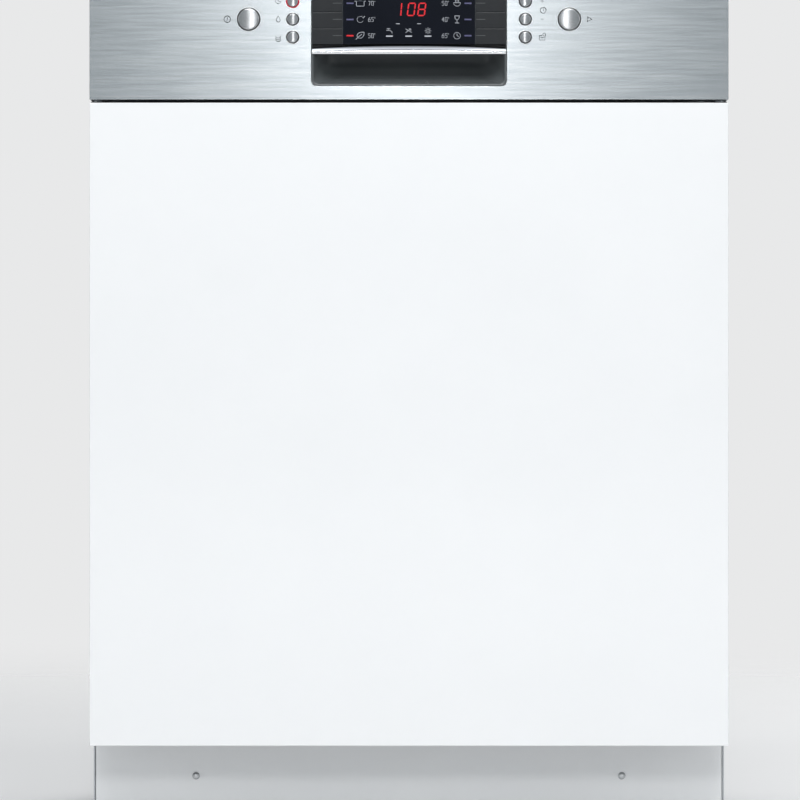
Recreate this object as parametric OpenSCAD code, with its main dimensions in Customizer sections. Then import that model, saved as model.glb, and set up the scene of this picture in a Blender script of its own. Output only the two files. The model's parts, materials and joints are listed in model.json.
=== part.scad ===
// Built-in dishwasher, 60 cm class, semi-integrated: a steel control fascia with a grip recess
// above a white furniture front, on a drop-down door, with tub, racks, spray arms and pumps inside.
// Millimetres. +Z up, -Y is the front, origin on the floor under the middle of the machine.

/* [Body] */
// Width over the side panels
body_w = 598; // [596:1:600]
// Depth from the knobs to the back panel
body_d = 573; // [570:1:580]
// Height from the floor to the top cover
body_h = 815; // [813:1:820]
// Thickness of the folded steel sheets
sheet = 1.2; // [1:0.1:1.5]

/* [Door] */
// Width of the furniture front and of the fascia
front_w = 596; // [594:1:596]
// Height of the furniture front
panel_h = 600; // [596:1:602]
// Thickness of the furniture front
panel_t = 18; // [16:1:19]
// Height of the control fascia
fascia_h = 115; // [114:1:116]
// Gap between fascia and furniture front
front_gap = 3; // [2:0.5:4]
// How far knobs and grip strip stand proud of the fascia
knob_stand = 2; // [1.5:0.1:2.5]

/* [Racks] */
// Wire radius
wire_r = 2; // [1.6:0.1:2.2]
// Wires across and along each rack floor
wire_count = 9; // [7:1:11]
// Tines in each row of the lower rack
tine_count = 10; // [8:1:12]
// Height of a plate tine
tine_h = 86; // [70:1:88]

/* [Hidden] */
$fn = 48;

// Planes from front to back
y_back = body_d / 2;
y_face = -y_back + knob_stand;         // fascia and furniture front
y_skin = y_face + panel_t;             // outer door sheet
y_liner = y_face + 62.5;               // tub side of the inner door
y_flange = y_liner + 8.5;              // tub front flange
y_lip = y_liner + 1;                   // front lip of the tub floor
y_kick = y_liner + 10;                 // kick plate
y_base = y_kick + 4;                   // front of the base tray
y_base_back = 250;
tub_back = 260;                        // inner face of the tub back
y_return = y_liner - 14;               // back edge of the outer sheets' side returns

// Levels
fascia_top = body_h - 3;
fascia_z = fascia_top - fascia_h;
panel_z = fascia_z - front_gap - panel_h;
floor_z = 130;                         // tub floor, where the wheels run
pivot_y = y_liner - 15;
pivot_z = floor_z - 15;
pin_r = 4;                             // door hinge pins
inner_edge = 289;                      // half width of the inner door
door_z = 100;                          // lower edge of the outer door sheet
arm_t = 3;                             // thickness of hinge arms and brackets
spring_y = pivot_y + 20;               // hole of the spring hook
spring_z = pivot_z - 9.5;
slot_w = 14;                           // half width of the latch slot
slot_z = 796;
base_z = 20;
base_top = 98;

// Tub
tub_w = 540;
tub_top = 780;
tub_t = 1.5;
half_w = body_w / 2;
frame_x = half_w - 5.7;                // outer side of the base tray and inner side of the hinge brackets
hub = [0, 24];                         // axis of both spray arms
feed_y = 250;                          // axis of the rising feed pipe
feed_r = 9.5;
spigot_r = 8;                          // pipes that carry the spray arms
outlet_r = 7;                          // pump outlet into the feed pipe
outlet_y = 200;
outlet_z = 106;
sump_c = [25, 5];
sump_r = 98;
filter_c = [65, -25];
filter_r = 36;
salt_c = [-165, 0];
salt_r = 34;
foot_spots = [[-255, -165], [255, -165], [0, 212]];
foot_spindle_r = 6;
inlet_c = [-200, 62];                  // water inlet and drain, as [x, z]
drain_c = [-140, 62];
running = 0.05;                        // radial running clearance
play = 0.3;                            // clearance between sliding parts

// Racks
rack_front = y_liner + 22;
lower_w = 500;
lower_back = 234;
lower_z = 188;
lower_top = 300;
wheel_r = 17.5;
wheel_x = 258;
axle_r = 4;
wheel_ys = [-60, 150];
upper_w = 480;
upper_back = 232;
upper_z = 507;
upper_top = 620;
duct_z = 490;                          // water duct under the upper rack
rail_z = 601;
rail_h = 9;                            // half height inside the fixed guides
wire_wall = 24;                        // from a rack's corner to its first wire
tine_rows = [-140, -50, 140];
fold_row = 50;
tine_x0 = -222;
tine_x1 = 128;

// Fascia: the insert with display, keys and grip
insert_w = 182;
insert_z = fascia_z + 12.7;
insert_top = fascia_z + 100;
key_h = 15.1;
key_top = insert_top - 3.4;
display_w = 123.8;
display_z = key_top - 3 * key_h;
strip_h = 9.2;
strip_z = display_z - strip_h;
button_z = fascia_z + 74.8;
option_pitch = 16.7;
option_x = 108.5;
option_r = 5;
knob_x = 149.5;
knob_r = 9.8;
button_gap = 1;                        // dark ring around a knob
button_lap = 0.9;                      // how far a knob's collar reaches behind the fascia
button_travel = 1.5;
stem_play = 0.2;                       // from a pressed stem to the board
board_y = y_face + 22.5;

// Dispenser on the inner door
disp_w = 184;
disp_z0 = 418;
disp_z1 = 572;
chamber = [-75, 5, 435, 495];          // x0, x1, z0, z1
cap_c = [50, 465];
cap_r = 19;
cap_plug_r = 12;

// ---------- helpers ----------
module box(x0, x1, y0, y1, z0, z1) {
    translate([x0, y0, z0]) cube([x1 - x0, y1 - y0, z1 - z0]);
}
module both_sides() {
    children();
    mirror([1, 0, 0]) children();
}
module rod_x(x0, x1, y, z, r) {
    translate([x0, y, z]) rotate([0, 90, 0]) cylinder(r = r, h = x1 - x0);
}
module rod_y(y0, y1, x, z, r) {
    translate([x, y1, z]) rotate([90, 0, 0]) cylinder(r = r, h = y1 - y0);
}
module rod_z(z0, z1, x, y, r) {
    translate([x, y, z0]) cylinder(r = r, h = z1 - z0);
}
// Rectangle with round corners, centred, as squares and circles
module round_rect(w, h, r) {
    square([w - 2 * r, h], center = true);
    square([w, h - 2 * r], center = true);
    for (x = [-1, 1], z = [-1, 1]) translate([x * (w / 2 - r), z * (h / 2 - r)]) circle(r);
}
// A flat XZ outline given thickness from y0 to y1
module plate_y(y0, y1) {
    translate([0, y1, 0]) rotate([90, 0, 0]) linear_extrude(y1 - y0) children();
}
// A flat YZ outline given thickness from x0 to x1
module plate_x(x0, x1) {
    translate([x0, 0, 0]) rotate([90, 0, 90]) linear_extrude(x1 - x0) children();
}

// ---------- cabinet ----------
module base_tray() {
    wall = 3;
    color("dimgray") difference() {
        union() {
            difference() {
                box(-frame_x, frame_x, y_base, y_base_back, base_z, base_top);
                box(-frame_x + wall, frame_x - wall, y_base + wall, y_base_back - wall,
                    base_z + wall, base_top + 1);
            }
            for (p = foot_spots) rod_z(base_z, 60, p[0], p[1], 14);
        }
        for (p = foot_spots) rod_z(base_z - 1, 61, p[0], p[1], foot_spindle_r + running);
        // passages for the two water connections
        rod_y(y_base_back - wall - 1, y_base_back + 1, inlet_c[0], inlet_c[1], 18);
        rod_y(y_base_back - wall - 1, y_base_back + 1, drain_c[0], drain_c[1], 14);
    }
}

module kick_plate() {
    color("white") union() {
        box(-front_w / 2 + 1, front_w / 2 - 1, y_kick, y_kick + 2, 12, 96);
        both_sides() box(190, 214, y_kick + 2, y_base, 48, 72);
    }
}

// Section across the tub: wide corners above, tight ones beside the wheel tracks
module tub_outline(grow) {
    h = tub_top - floor_z + 2 * grow;
    w = tub_w + 2 * grow;
    translate([0, floor_z - grow + h / 2]) round_rect(w, h, 30 + grow);
    translate([0, floor_z - grow + h / 4]) round_rect(w, h / 2, 5 + grow);
}

module tub() {
    flange_w = body_w - 3.4;
    lip = tub_w / 2 - 6;
    skirt = 18;
    color("lightsteelblue") difference() {
        union() {
            plate_y(y_flange, tub_back + tub_t) tub_outline(tub_t);
            box(-flange_w / 2, flange_w / 2, y_flange, y_flange + tub_t, floor_z, body_h - 7);
            // floor lip and its skirt under the door
            box(-lip, lip, y_lip, y_flange + 1, floor_z - tub_t, floor_z);
            box(-lip, lip, y_lip, y_lip + tub_t, floor_z - skirt, floor_z);
            box(-lip, lip, y_lip, y_base + tub_t, floor_z - skirt, floor_z - skirt + tub_t);
            box(-lip, lip, y_base, y_base + tub_t, base_top, floor_z - skirt + tub_t);
        }
        plate_y(y_flange - 1, tub_back) tub_outline(0);
        rod_z(floor_z - 5, floor_z + 2, sump_c[0], sump_c[1], sump_r + 26);
        rod_z(floor_z - 5, floor_z + 2, salt_c[0], salt_c[1], salt_r + 2);
        rod_z(floor_z - 5, floor_z + 2, 0, feed_y, feed_r + 0.3);
    }
}

// Three-sided rubber profile; the door's lower edge closes over the floor lip
module tub_seal() {
    color("dimgray") difference() {
        box(-284, 284, y_liner + 0.5, y_flange, floor_z + 2, 793);
        box(-273, 273, y_liner, y_flange + 1, floor_z, 783);
    }
}

module side_panel(side) {
    x0 = side > 0 ? half_w - 1.5 : -half_w;
    color("silver") box(x0, x0 + 1.5, y_flange + tub_t, y_back, 24, body_h - 4);
}

module back_panel() {
    color("silver") difference() {
        box(-half_w + 1.5, half_w - 1.5, y_back - 1.5, y_back, 100, body_h - 4);
        // pressed relief, open below
        box(-120, 120, y_back - 2, y_back + 1, 99, 160);
    }
}

module top_cover() {
    color("gainsboro") difference() {
        box(-half_w, half_w, y_flange + tub_t, y_back, body_h - 4, body_h);
        both_sides() rod_z(body_h - 5, body_h + 1, 240, -195, 2.7);
    }
}

module sump() {
    color("darkslategray") difference() {
        union() {
            rod_z(floor_z - 9, floor_z - tub_t, sump_c[0], sump_c[1], sump_r + 32);
            rod_z(56, floor_z - 8, sump_c[0], sump_c[1], sump_r + 4);
        }
        rod_z(floor_z - 5, floor_z, sump_c[0], sump_c[1], sump_r + 25.5);
        rod_z(60, floor_z - 4, sump_c[0], sump_c[1], sump_r);
    }
    // the tower that feeds the lower arm
    color("darkslategray") difference() {
        union() {
            rod_z(60, 145, hub[0], hub[1], 14);
            rod_z(144, 162, hub[0], hub[1], spigot_r);
        }
        rod_z(64, 163, hub[0], hub[1], 6);
    }
}

module micro_filter() {
    color("silver") difference() {
        rod_z(floor_z - 5, floor_z - 3.5, sump_c[0], sump_c[1], sump_r + 25);
        rod_z(floor_z - 6, floor_z, filter_c[0], filter_c[1], filter_r + 1);
        rod_z(floor_z - 6, floor_z, hub[0], hub[1], 15);
    }
}

module filter_cartridge() {
    color("gray") translate([filter_c[0], filter_c[1], 0]) {
        difference() {
            union() {
                rod_z(72, floor_z + 2, 0, 0, filter_r);
                rod_z(floor_z - 3, floor_z + 4, 0, 0, filter_r + 4);
            }
            rod_z(75, floor_z + 5, 0, 0, filter_r - 3);
        }
        // grip bar across the top
        box(-filter_r + 2.9, filter_r - 2.9, -4, 4, floor_z - 14, floor_z + 14);
    }
}

module circulation_pump() {
    y = 153;
    z = 70;
    color("lightgray") union() {
        rod_x(-10, 62, y, z, 44);
        rod_x(62, 124, y, z, 36);
        rod_x(124, 142, y, z, 12);
        // inlet from the sump and outlet to the feed pipe
        rod_y(sump_c[1] + sump_r + 4.2, y, sump_c[0], z - 4, 18);
        rod_y(y, outlet_y, 0, outlet_z, outlet_r);
    }
}

module drain_pump() {
    color("gray") {
        rod_x(sump_c[0] + sump_r + 4.6, 176, 25, 76, 26);
        rod_x(176, 216, 25, 76, 20);
    }
}

module softener() {
    color("whitesmoke") difference() {
        union() {
            box(-255, -112, -60, 70, 26, floor_z - 12);
            rod_z(floor_z - 13, floor_z + 1, salt_c[0], salt_c[1], salt_r);
        }
        rod_z(32, floor_z + 2, salt_c[0], salt_c[1], salt_r - 6);
    }
}

module salt_cap() {
    color("gainsboro") {
        rod_z(floor_z + 1.2, floor_z + 9, salt_c[0], salt_c[1], salt_r + 3);
        translate([salt_c[0], salt_c[1], 0]) box(-24, 24, -4, 4, floor_z + 9, floor_z + 16);
    }
}

module water_connections() {
    // inlet valve with its 3/4 inch thread, and the drain spigot
    color("white") {
        union() {
            rod_y(264, y_back, inlet_c[0], inlet_c[1], 13.2);
            rod_y(246, 264, inlet_c[0], inlet_c[1], 17);
            box(inlet_c[0] - 14, inlet_c[0] + 14, 195, 246, inlet_c[1] - 16, inlet_c[1] + 18);
        }
        union() {
            rod_y(252, y_back, drain_c[0], drain_c[1], 9.5);
            rod_y(200, 252, drain_c[0], drain_c[1], 13);
        }
    }
}

module feed_pipe() {
    color("gray") union() {
        rod_z(99, 765, 0, feed_y, feed_r);
        rod_y(feed_y - 12, feed_y, 0, duct_z, outlet_r);
        rod_y(hub[1], feed_y, 0, 765, feed_r);
        rod_z(748, 766, hub[0], hub[1], 22);
        rod_y(outlet_y, feed_y, 0, outlet_z, outlet_r);
    }
}

module foot(i) {
    color("black") {
        rod_z(0, 7, foot_spots[i][0], foot_spots[i][1], 22);
        rod_z(6, 15, foot_spots[i][0], foot_spots[i][1], 13);
        rod_z(7, 92, foot_spots[i][0], foot_spots[i][1], foot_spindle_r);
    }
}

module hinge_brackets() {
    color("silver") both_sides() union() {
        plate_x(frame_x, frame_x + arm_t) {
            translate([pivot_y, pivot_z]) circle(11);
            translate([pivot_y, pivot_z - 11]) square([120, 22]);
            translate([y_base, 50]) square([90, 70]);
        }
        rod_x(frame_x - 12, frame_x + 1, pivot_y, pivot_z, pin_r);
    }
}

module upper_guides() {
    color("silver") both_sides() difference() {
        box(261, tub_w / 2, y_flange + 8, 190, rail_z - rail_h - 4, rail_z + rail_h + 4);
        box(260, 267, y_flange + 7, 191, rail_z - rail_h, rail_z + rail_h);
    }
}

module latch_strike() {
    color("silver") difference() {
        union() {
            box(-10, 10, y_liner - 18, y_flange, 799, 804);
            box(-16, 16, y_flange - 1.5, y_flange, 795, 807);
        }
        box(-5, 5, y_liner - 14, y_liner - 6, 798, 805);
    }
}

// ---------- spray arms ----------
// Flat arm with a taper towards both ends, given height from z0 to z1
module arm_blade(length, wide, tip, z0, z1) {
    translate([hub[0], hub[1], z0]) linear_extrude(z1 - z0) union() {
        polygon([[-length, -tip], [0, -wide], [length, -tip], [length, tip], [0, wide], [-length, tip]]);
        for (s = [-1, 1]) translate([s * length, 0]) circle(tip);
    }
}

module lower_spray_arm() {
    color("gray") difference() {
        union() {
            arm_blade(194, 26, 15, 152, 166);
            rod_z(147, 172, hub[0], hub[1], 20);
        }
        rod_z(146, 164, hub[0], hub[1], spigot_r + running);
        for (s = [-1, 1], i = [1:5])
            translate([s * (32 + 31 * i), hub[1] + s * 5, 160]) cylinder(r = 2, h = 8);
    }
}

module upper_spray_arm() {
    color("gray") difference() {
        union() {
            arm_blade(190, 24, 14, 456, 468);
            rod_z(452, 478, hub[0], hub[1], 17);
        }
        rod_z(460, 479, hub[0], hub[1], spigot_r + running);
        for (s = [-1, 1], i = [1:5])
            translate([s * (30 + 30 * i), hub[1] + s * 5, 462]) cylinder(r = 2, h = 8);
    }
}

// ---------- racks ----------
function spread(from, to, n, i) = from + (to - from) * i / (n - 1);

// Wire basket: crossed floor wires, upright wall wires, a middle wire and a rim on each wall
module wire_basket(w, y0, y1, z0, top) {
    rim = wire_r + 1;
    mid = (z0 + top) / 2 + 6;
    for (i = [0:wire_count - 1]) {
        y = spread(y0 + wire_wall, y1 - wire_wall, wire_count, i);
        x = spread(-w / 2 + wire_wall, w / 2 - wire_wall, wire_count, i);
        rod_x(-w / 2 + wire_r, w / 2 - wire_r, y, z0, wire_r);
        rod_y(y0 + wire_r, y1 - wire_r, x, z0 + 2 * wire_r, wire_r);
        for (s = [-1, 1]) rod_z(z0 - wire_r, top - rim, s * w / 2, y, wire_r);
        for (yw = [y0, y1]) rod_z(z0 - wire_r, top - rim, x, yw, wire_r);
    }
    for (yw = [y0, y1]) rod_x(-w / 2 - rim, w / 2 + rim, yw, top, rim);
    for (s = [-1, 1]) rod_y(y0 + rim, y1 - rim, s * w / 2, top, rim);
    rod_x(-w / 2 + 3 * wire_r, w / 2 - 3 * wire_r, y0 + 2 * wire_r, mid, wire_r);
    rod_x(-w / 2 + 3 * wire_r, w / 2 - 3 * wire_r, y1 - 2 * wire_r, mid, wire_r);
    for (s = [-1, 1]) rod_y(y0 + 3 * wire_r, y1 - 3 * wire_r, s * (w / 2 - 2 * wire_r), mid, wire_r);
}

// Row of upright tines standing on a base wire that lies on the floor wires
module tine_row(y, z0, x0, x1, n, h) {
    base = z0 + 4 * wire_r;
    rod_x(x0 - 6, x1 + 6, y, base, wire_r);
    for (i = [0:n - 1]) rod_z(base + wire_r, base + h, spread(x0, x1, n, i), y, wire_r);
}

module lower_rack() {
    color("slategray") {
        wire_basket(lower_w, rack_front, lower_back, lower_z, lower_top);
        for (y = tine_rows) tine_row(y, lower_z, tine_x0, tine_x1, tine_count, tine_h);
        // wheel carriers, hung on the floor wires, with their axles
        both_sides() for (y = wheel_ys) {
            box(240, 249, y - 14, y + 14, floor_z + 10, lower_z - wire_r);
            rod_x(249, wheel_x + 5, y, floor_z + wheel_r, axle_r);
        }
    }
}

module folding_tines() {
    base = lower_z + 4 * wire_r + 0.3;
    color("slategray") {
        rod_x(tine_x0 - 2, tine_x1 + 10, fold_row, base, wire_r);
        for (i = [0:tine_count - 1])
            rod_z(base + wire_r, base + tine_h, spread(tine_x0 + 6, tine_x1 + 4, tine_count, i),
                  fold_row, wire_r);
    }
}

module wheel_pair(y) {
    color("gray") both_sides() difference() {
        union() {
            rod_x(wheel_x - 5, wheel_x + 5, y, floor_z + wheel_r, wheel_r);
            rod_x(wheel_x - 7, wheel_x + 6, y, floor_z + wheel_r, 8);
        }
        rod_x(wheel_x - 8, wheel_x + 7, y, floor_z + wheel_r, axle_r + running);
    }
}

module cutlery_basket() {
    wall = 2;
    x0 = 148;
    x1 = 234;
    mid = -60;
    color("gray") union() {
        difference() {
            box(x0, x1, -186, 66, lower_z + 3.2 * wire_r, 306);
            box(x0 + wall, x1 - wall, -186 + wall, mid - wall, lower_z + 4.4 * wire_r, 307);
            box(x0 + wall, x1 - wall, mid + wall, 66 - wall, lower_z + 4.4 * wire_r, 307);
        }
        // carrying handle on the partition
        box(x0 + 14, x0 + 22, mid - wall, mid + wall, 300, 332);
        box(x1 - 22, x1 - 14, mid - wall, mid + wall, 300, 332);
        box(x0 + 14, x1 - 14, mid - wall, mid + wall, 324, 334);
    }
}

module upper_rails() {
    color("silver") both_sides() difference() {
        box(252, 267 - play, rack_front, 188, rail_z - rail_h + play, rail_z + rail_h - play);
        box(251, 258, rack_front - 1, 189, rail_z - 5, rail_z + 5);
    }
}

module upper_rack() {
    color("slategray") {
        wire_basket(upper_w, rack_front, upper_back, upper_z, upper_top);
        for (y = [-110, -20, 120]) tine_row(y, upper_z, -200, 200, 9, 60);
        // side rollers in the rails
        both_sides() {
            box(upper_w / 2 + wire_r, 247, 20, 180, rail_z - 11, rail_z + 11);
            for (y = [50, 150]) rod_x(247, 257.5, y, rail_z, 4.7);
        }
        // water duct of the upper arm, with its spigot
        union() {
            rod_y(hub[1], feed_y - 13, hub[0], duct_z, 9);
            rod_z(463, duct_z, hub[0], hub[1], spigot_r);
            rod_z(duct_z - 10.5, duct_z + 10, hub[0], hub[1], 15);
        }
    }
}

// ---------- door ----------
module door_outer_panel() {
    w = front_w / 2;
    top = fascia_z - 1;
    color("gray") union() {
        box(-w, w, y_skin, y_skin + sheet, door_z, top);
        both_sides() {
            box(w - sheet, w, y_skin, y_return, door_z, top);
            box(inner_edge, w, y_return - sheet, y_return, 132, top);
        }
        box(-280, 280, y_skin, pivot_y - 3, door_z, door_z + sheet);
    }
}

module inner_door() {
    top = fascia_top - sheet;
    bottom = pivot_z + 2;
    color("lightsteelblue") difference() {
        union() {
            box(-inner_edge, inner_edge, y_liner - sheet, y_liner, bottom, top);
            both_sides() box(inner_edge - sheet, inner_edge, y_liner - 26, y_liner, bottom + 3, top);
            box(-inner_edge, inner_edge, y_liner - 40, y_liner, top - sheet, top);
            box(-280, 280, y_liner - 26, y_liner, bottom, bottom + sheet);
        }
        box(-disp_w / 2, disp_w / 2, y_liner - 3, y_liner + 1, disp_z0, disp_z1);
        box(-slot_w, slot_w, y_liner - 3, y_liner + 1, slot_z, slot_z + 12);
    }
}

module furniture_panel() {
    color("white") box(-front_w / 2, front_w / 2, y_face, y_skin, panel_z, panel_z + panel_h);
}

// Outline of the insert: square above, round corners below
module insert_outline(grow) {
    w = insert_w / 2 + grow;
    r = 5 + grow;
    z0 = insert_z - grow;
    translate([-w, z0 + r]) square([2 * w, insert_top + grow - z0 - r]);
    translate([-w + r, z0]) square([2 * (w - r), r]);
    for (s = [-1, 1]) translate([s * (w - r), z0 + r]) circle(r);
}

function option_z(i) = button_z + (1 - i) * option_pitch;

module control_fascia() {
    w = front_w / 2;
    color("silver") difference() {
        union() {
            box(-w, w, y_face, y_face + sheet, fascia_z, fascia_top);
            box(-w, w, y_face, y_liner - 2, fascia_top - sheet, fascia_top);
            box(-w, w, y_face, y_skin, fascia_z, fascia_z + sheet);
            both_sides() box(w - sheet, w, y_face, y_return, fascia_z, fascia_top);
        }
        plate_y(y_face - 1, y_face + 3) insert_outline(0.3);
        for (s = [-1, 1]) {
            rod_y(y_face - 1, y_face + 3, s * knob_x, button_z, knob_r + button_gap);
            for (i = [0:2])
                rod_y(y_face - 1, y_face + 3, s * option_x, option_z(i), option_r + button_gap);
        }
    }
}

module grip_shell() {
    w = insert_w / 2;
    front = y_face + 0.2;
    color("dimgray") difference() {
        union() {
            plate_y(front, y_face + 6.5) insert_outline(0);
            box(-w, w, y_face + 6.4, y_face + 34.5, insert_z, display_z);
            for (s = [-1, 1]) rod_y(y_face + 6, board_y, s * 84, insert_top - 8, 3);
        }
        // key and display pocket
        box(-w + 0.6, w - 0.6, front - 1, y_face + 4.5, display_z + 0.1, key_top + 1);
        // finger recess and the hooked space behind the strip
        box(-w + 2, w - 2, front - 1, y_face + 32.5, insert_z + 1.8, strip_z);
        box(-w + 5, w - 5, y_face + 7.7, y_face + 32.5, strip_z - 1, strip_z + 7);
        // seat of the strip
        box(-w + 0.5, w - 0.5, front - 1, y_face + 7.5, strip_z, display_z);
        // passages for the key stems
        for (s = [-1, 1], i = [0:2])
            rod_y(y_face + 3, y_face + 8, s * key_x(), key_z(i), 2.5);
    }
}
function key_x() = (display_w + insert_w) / 4 - 4;
function key_z(i) = key_top - (i + 0.5) * key_h;

module grip_strip() {
    w = insert_w / 2 - 0.6;
    mid = strip_z + strip_h / 2;
    color("white") intersection() {
        box(-w, w, y_face - knob_stand, y_face + 7.5, strip_z + 0.1, display_z - 0.1);
        rod_x(-w, w, y_face - knob_stand + 12, mid, 12);
    }
}

module display_window() {
    color("black")
        box(-display_w / 2, display_w / 2, y_face + 0.3, y_face + 4.5, display_z + 0.3, key_top - 0.1);
}

module control_board() {
    color("darkgreen") union() {
        box(-165, 165, board_y, board_y + 1.6, display_z + 6, fascia_top - 9);
        both_sides() box(96, 165, board_y, board_y + 1.6, display_z - 4, display_z + 7);
    }
}

// Round button with a step, and a stem that ends just short of the board
module round_button(x, z, r) {
    color("silver") union() {
        rod_y(y_face - knob_stand + 0.2, y_face + 6, x, z, r);
        rod_y(y_face + 2.4, y_face + 4.4, x, z, r + button_gap + button_lap);
        rod_y(y_face + 6, board_y - button_travel - stem_play, x, z, 2.4);
    }
}

module program_key(side, i) {
    x0 = display_w / 2 + 0.4;
    x1 = insert_w / 2 - 0.9;
    z0 = key_z(i) - key_h / 2 + 0.2;
    z1 = key_z(i) + key_h / 2 - 0.2;
    color("darkslategray") mirror([side < 0 ? 1 : 0, 0, 0]) union() {
        box(x0, x1, y_face + 0.4, y_face + 2.8, z0, z1);
        rod_y(y_face + 2.5, board_y - 1.5, key_x(), key_z(i), 2);
    }
}

module door_latch() {
    color("dimgray") difference() {
        box(-26, 26, y_liner - 34, y_liner - sheet, 786, fascia_top - 3);
        box(-slot_w, slot_w, y_liner - 24, y_liner + 1, slot_z, slot_z + 11);
    }
}

module dispenser() {
    color("lightgray") difference() {
        union() {
            box(-disp_w / 2 - 4, disp_w / 2 + 4, y_liner, y_liner + 2, disp_z0 - 4, disp_z1 + 4);
            box(-disp_w / 2 + play, disp_w / 2 - play, y_liner - 30, y_liner + 1,
                disp_z0 + play, disp_z1 - play);
            // guide rails of the sliding lid
            for (x = [chamber[0] - 8, chamber[1] + 4])
                box(x, x + 4, y_liner, y_liner + 5.5, disp_z0 + 6, disp_z1);
        }
        box(chamber[0], chamber[1], y_liner - 24, y_liner + 3, chamber[2], chamber[3]);
        rod_y(y_liner - 20, y_liner + 3, cap_c[0], cap_c[1], cap_plug_r + running);
    }
}

module dispenser_lid() {
    color("gray") union() {
        box(chamber[0] - 3.6, chamber[1] + 3.6, y_liner + 2.2, y_liner + 4.6,
            chamber[2] - 3, chamber[3] + 3);
        box(chamber[0] + 20, chamber[1] - 20, y_liner + 4.6, y_liner + 6.6, chamber[2] + 6, chamber[2] + 14);
    }
}

module rinse_aid_cap() {
    color("gainsboro") union() {
        rod_y(y_liner + 2.2, y_liner + 6, cap_c[0], cap_c[1], cap_r);
        rod_y(y_liner - 8, y_liner + 3, cap_c[0], cap_c[1], cap_plug_r);
        box(cap_c[0] - 15, cap_c[0] + 15, y_liner + 6, y_liner + 10, cap_c[1] - 3, cap_c[1] + 3);
    }
}

// Arms bolted inside the door, with a short tail that pulls the spring
module door_hinges() {
    x1 = inner_edge - sheet;
    color("silver") both_sides() difference() {
        plate_x(x1 - arm_t, x1) union() {
            translate([pivot_y, pivot_z]) circle(10);
            translate([pivot_y - 10, pivot_z]) square([20, 215]);
            translate([pivot_y, pivot_z - 14]) square([20, 9]);
            translate([pivot_y, spring_z]) square([10, pivot_z - spring_z]);
            translate([spring_y, spring_z]) circle(4.5);
        }
        rod_x(x1 - arm_t - 1, x1 + 1, pivot_y, pivot_z, pin_r + running);
        rod_x(x1 - arm_t - 1, x1 + 1, spring_y, spring_z, 2);
    }
}

module door_springs() {
    x = inner_edge - sheet - arm_t / 2;
    y0 = spring_y + 7;
    z = spring_z;
    color("silver") both_sides() union() {
        rod_y(y0, y0 + 45, x, z, 1.2);
        difference() {
            rod_y(y0 + 44, y0 + 170, x, z, 6.5);
            rod_y(y0 + 46, y0 + 168, x, z, 4);
        }
        rod_y(y0 + 169, y0 + 190, x, z, 1.5);
    }
}

// ---------- what is drawn ----------
base_tray();
kick_plate();
tub();
tub_seal();
side_panel(-1);  // side_panel_left
side_panel(1);  // side_panel_right
back_panel();
top_cover();
sump();
micro_filter();
filter_cartridge();
circulation_pump();
drain_pump();
softener();
salt_cap();
water_connections();
feed_pipe();
lower_spray_arm();
foot(0);  // foot_front_left
foot(1);  // foot_front_right
foot(2);  // foot_rear
hinge_brackets();
upper_guides();
latch_strike();
upper_rails();
upper_rack();
upper_spray_arm();
lower_rack();
folding_tines();
wheel_pair(wheel_ys[0]);  // front_wheels
wheel_pair(wheel_ys[1]);  // rear_wheels
cutlery_basket();
door_outer_panel();
inner_door();
furniture_panel();
control_fascia();
grip_shell();
grip_strip();
display_window();
control_board();
door_latch();
dispenser();
dispenser_lid();
rinse_aid_cap();
door_hinges();
door_springs();
round_button(-knob_x, button_z, knob_r);  // power_button
round_button(knob_x, button_z, knob_r);  // start_button
for (i = [0:2]) {
    n = str(i + 1);
    round_button(-option_x, option_z(i), option_r);
    round_button(option_x, option_z(i), option_r);
    program_key(-1, i);
    program_key(1, i);
}
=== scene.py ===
"""Looks of a built-in dishwasher: brushed steel fascia, white front, and the machine behind them.

Pieces are built in millimetres, in the row's frame (+Z up, -Y the front), and made into meshes in metres.
"""
import json
import math
from collections import namedtuple

import bmesh
import bpy
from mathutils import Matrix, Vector


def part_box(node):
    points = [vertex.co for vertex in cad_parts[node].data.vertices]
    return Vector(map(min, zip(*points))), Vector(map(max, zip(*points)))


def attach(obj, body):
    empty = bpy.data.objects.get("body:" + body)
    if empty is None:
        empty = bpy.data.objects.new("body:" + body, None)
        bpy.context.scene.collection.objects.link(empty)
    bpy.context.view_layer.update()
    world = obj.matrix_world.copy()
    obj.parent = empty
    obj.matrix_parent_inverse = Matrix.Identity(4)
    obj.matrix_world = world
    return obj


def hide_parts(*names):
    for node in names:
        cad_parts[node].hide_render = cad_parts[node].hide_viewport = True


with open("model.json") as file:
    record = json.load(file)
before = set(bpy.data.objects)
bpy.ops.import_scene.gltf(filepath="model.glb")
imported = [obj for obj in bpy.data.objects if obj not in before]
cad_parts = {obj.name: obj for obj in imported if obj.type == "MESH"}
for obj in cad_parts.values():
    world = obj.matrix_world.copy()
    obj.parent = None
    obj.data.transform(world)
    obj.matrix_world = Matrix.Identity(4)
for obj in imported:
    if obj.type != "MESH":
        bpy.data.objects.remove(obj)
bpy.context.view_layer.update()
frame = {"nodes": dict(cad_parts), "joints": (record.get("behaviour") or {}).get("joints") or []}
MM = 0.001
RIGHT, BACK, UP = Vector((1, 0, 0)), Vector((0, 1, 0)), Vector((0, 0, 1))
FRONT = -BACK
SIDES = (-1, 1)

# the record's slot and the material of the pieces that share one
STEEL = ("steel_part", "part")
TUB_STEEL = ("tub_steel", "tub")
LINER_STEEL = ("tub_steel", "liner")
ZINC = ("galvanised", "zinc")
GREY = ("grey_plastic", "grey")
PALE = ("light_plastic", "pale")
PALE_GREY = ("light_plastic", "grey")
BLACK = ("black_plastic", "black")
RUBBER = ("rubber_seal", "rubber")
COAT = ("rack_coat", "coat")


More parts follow.
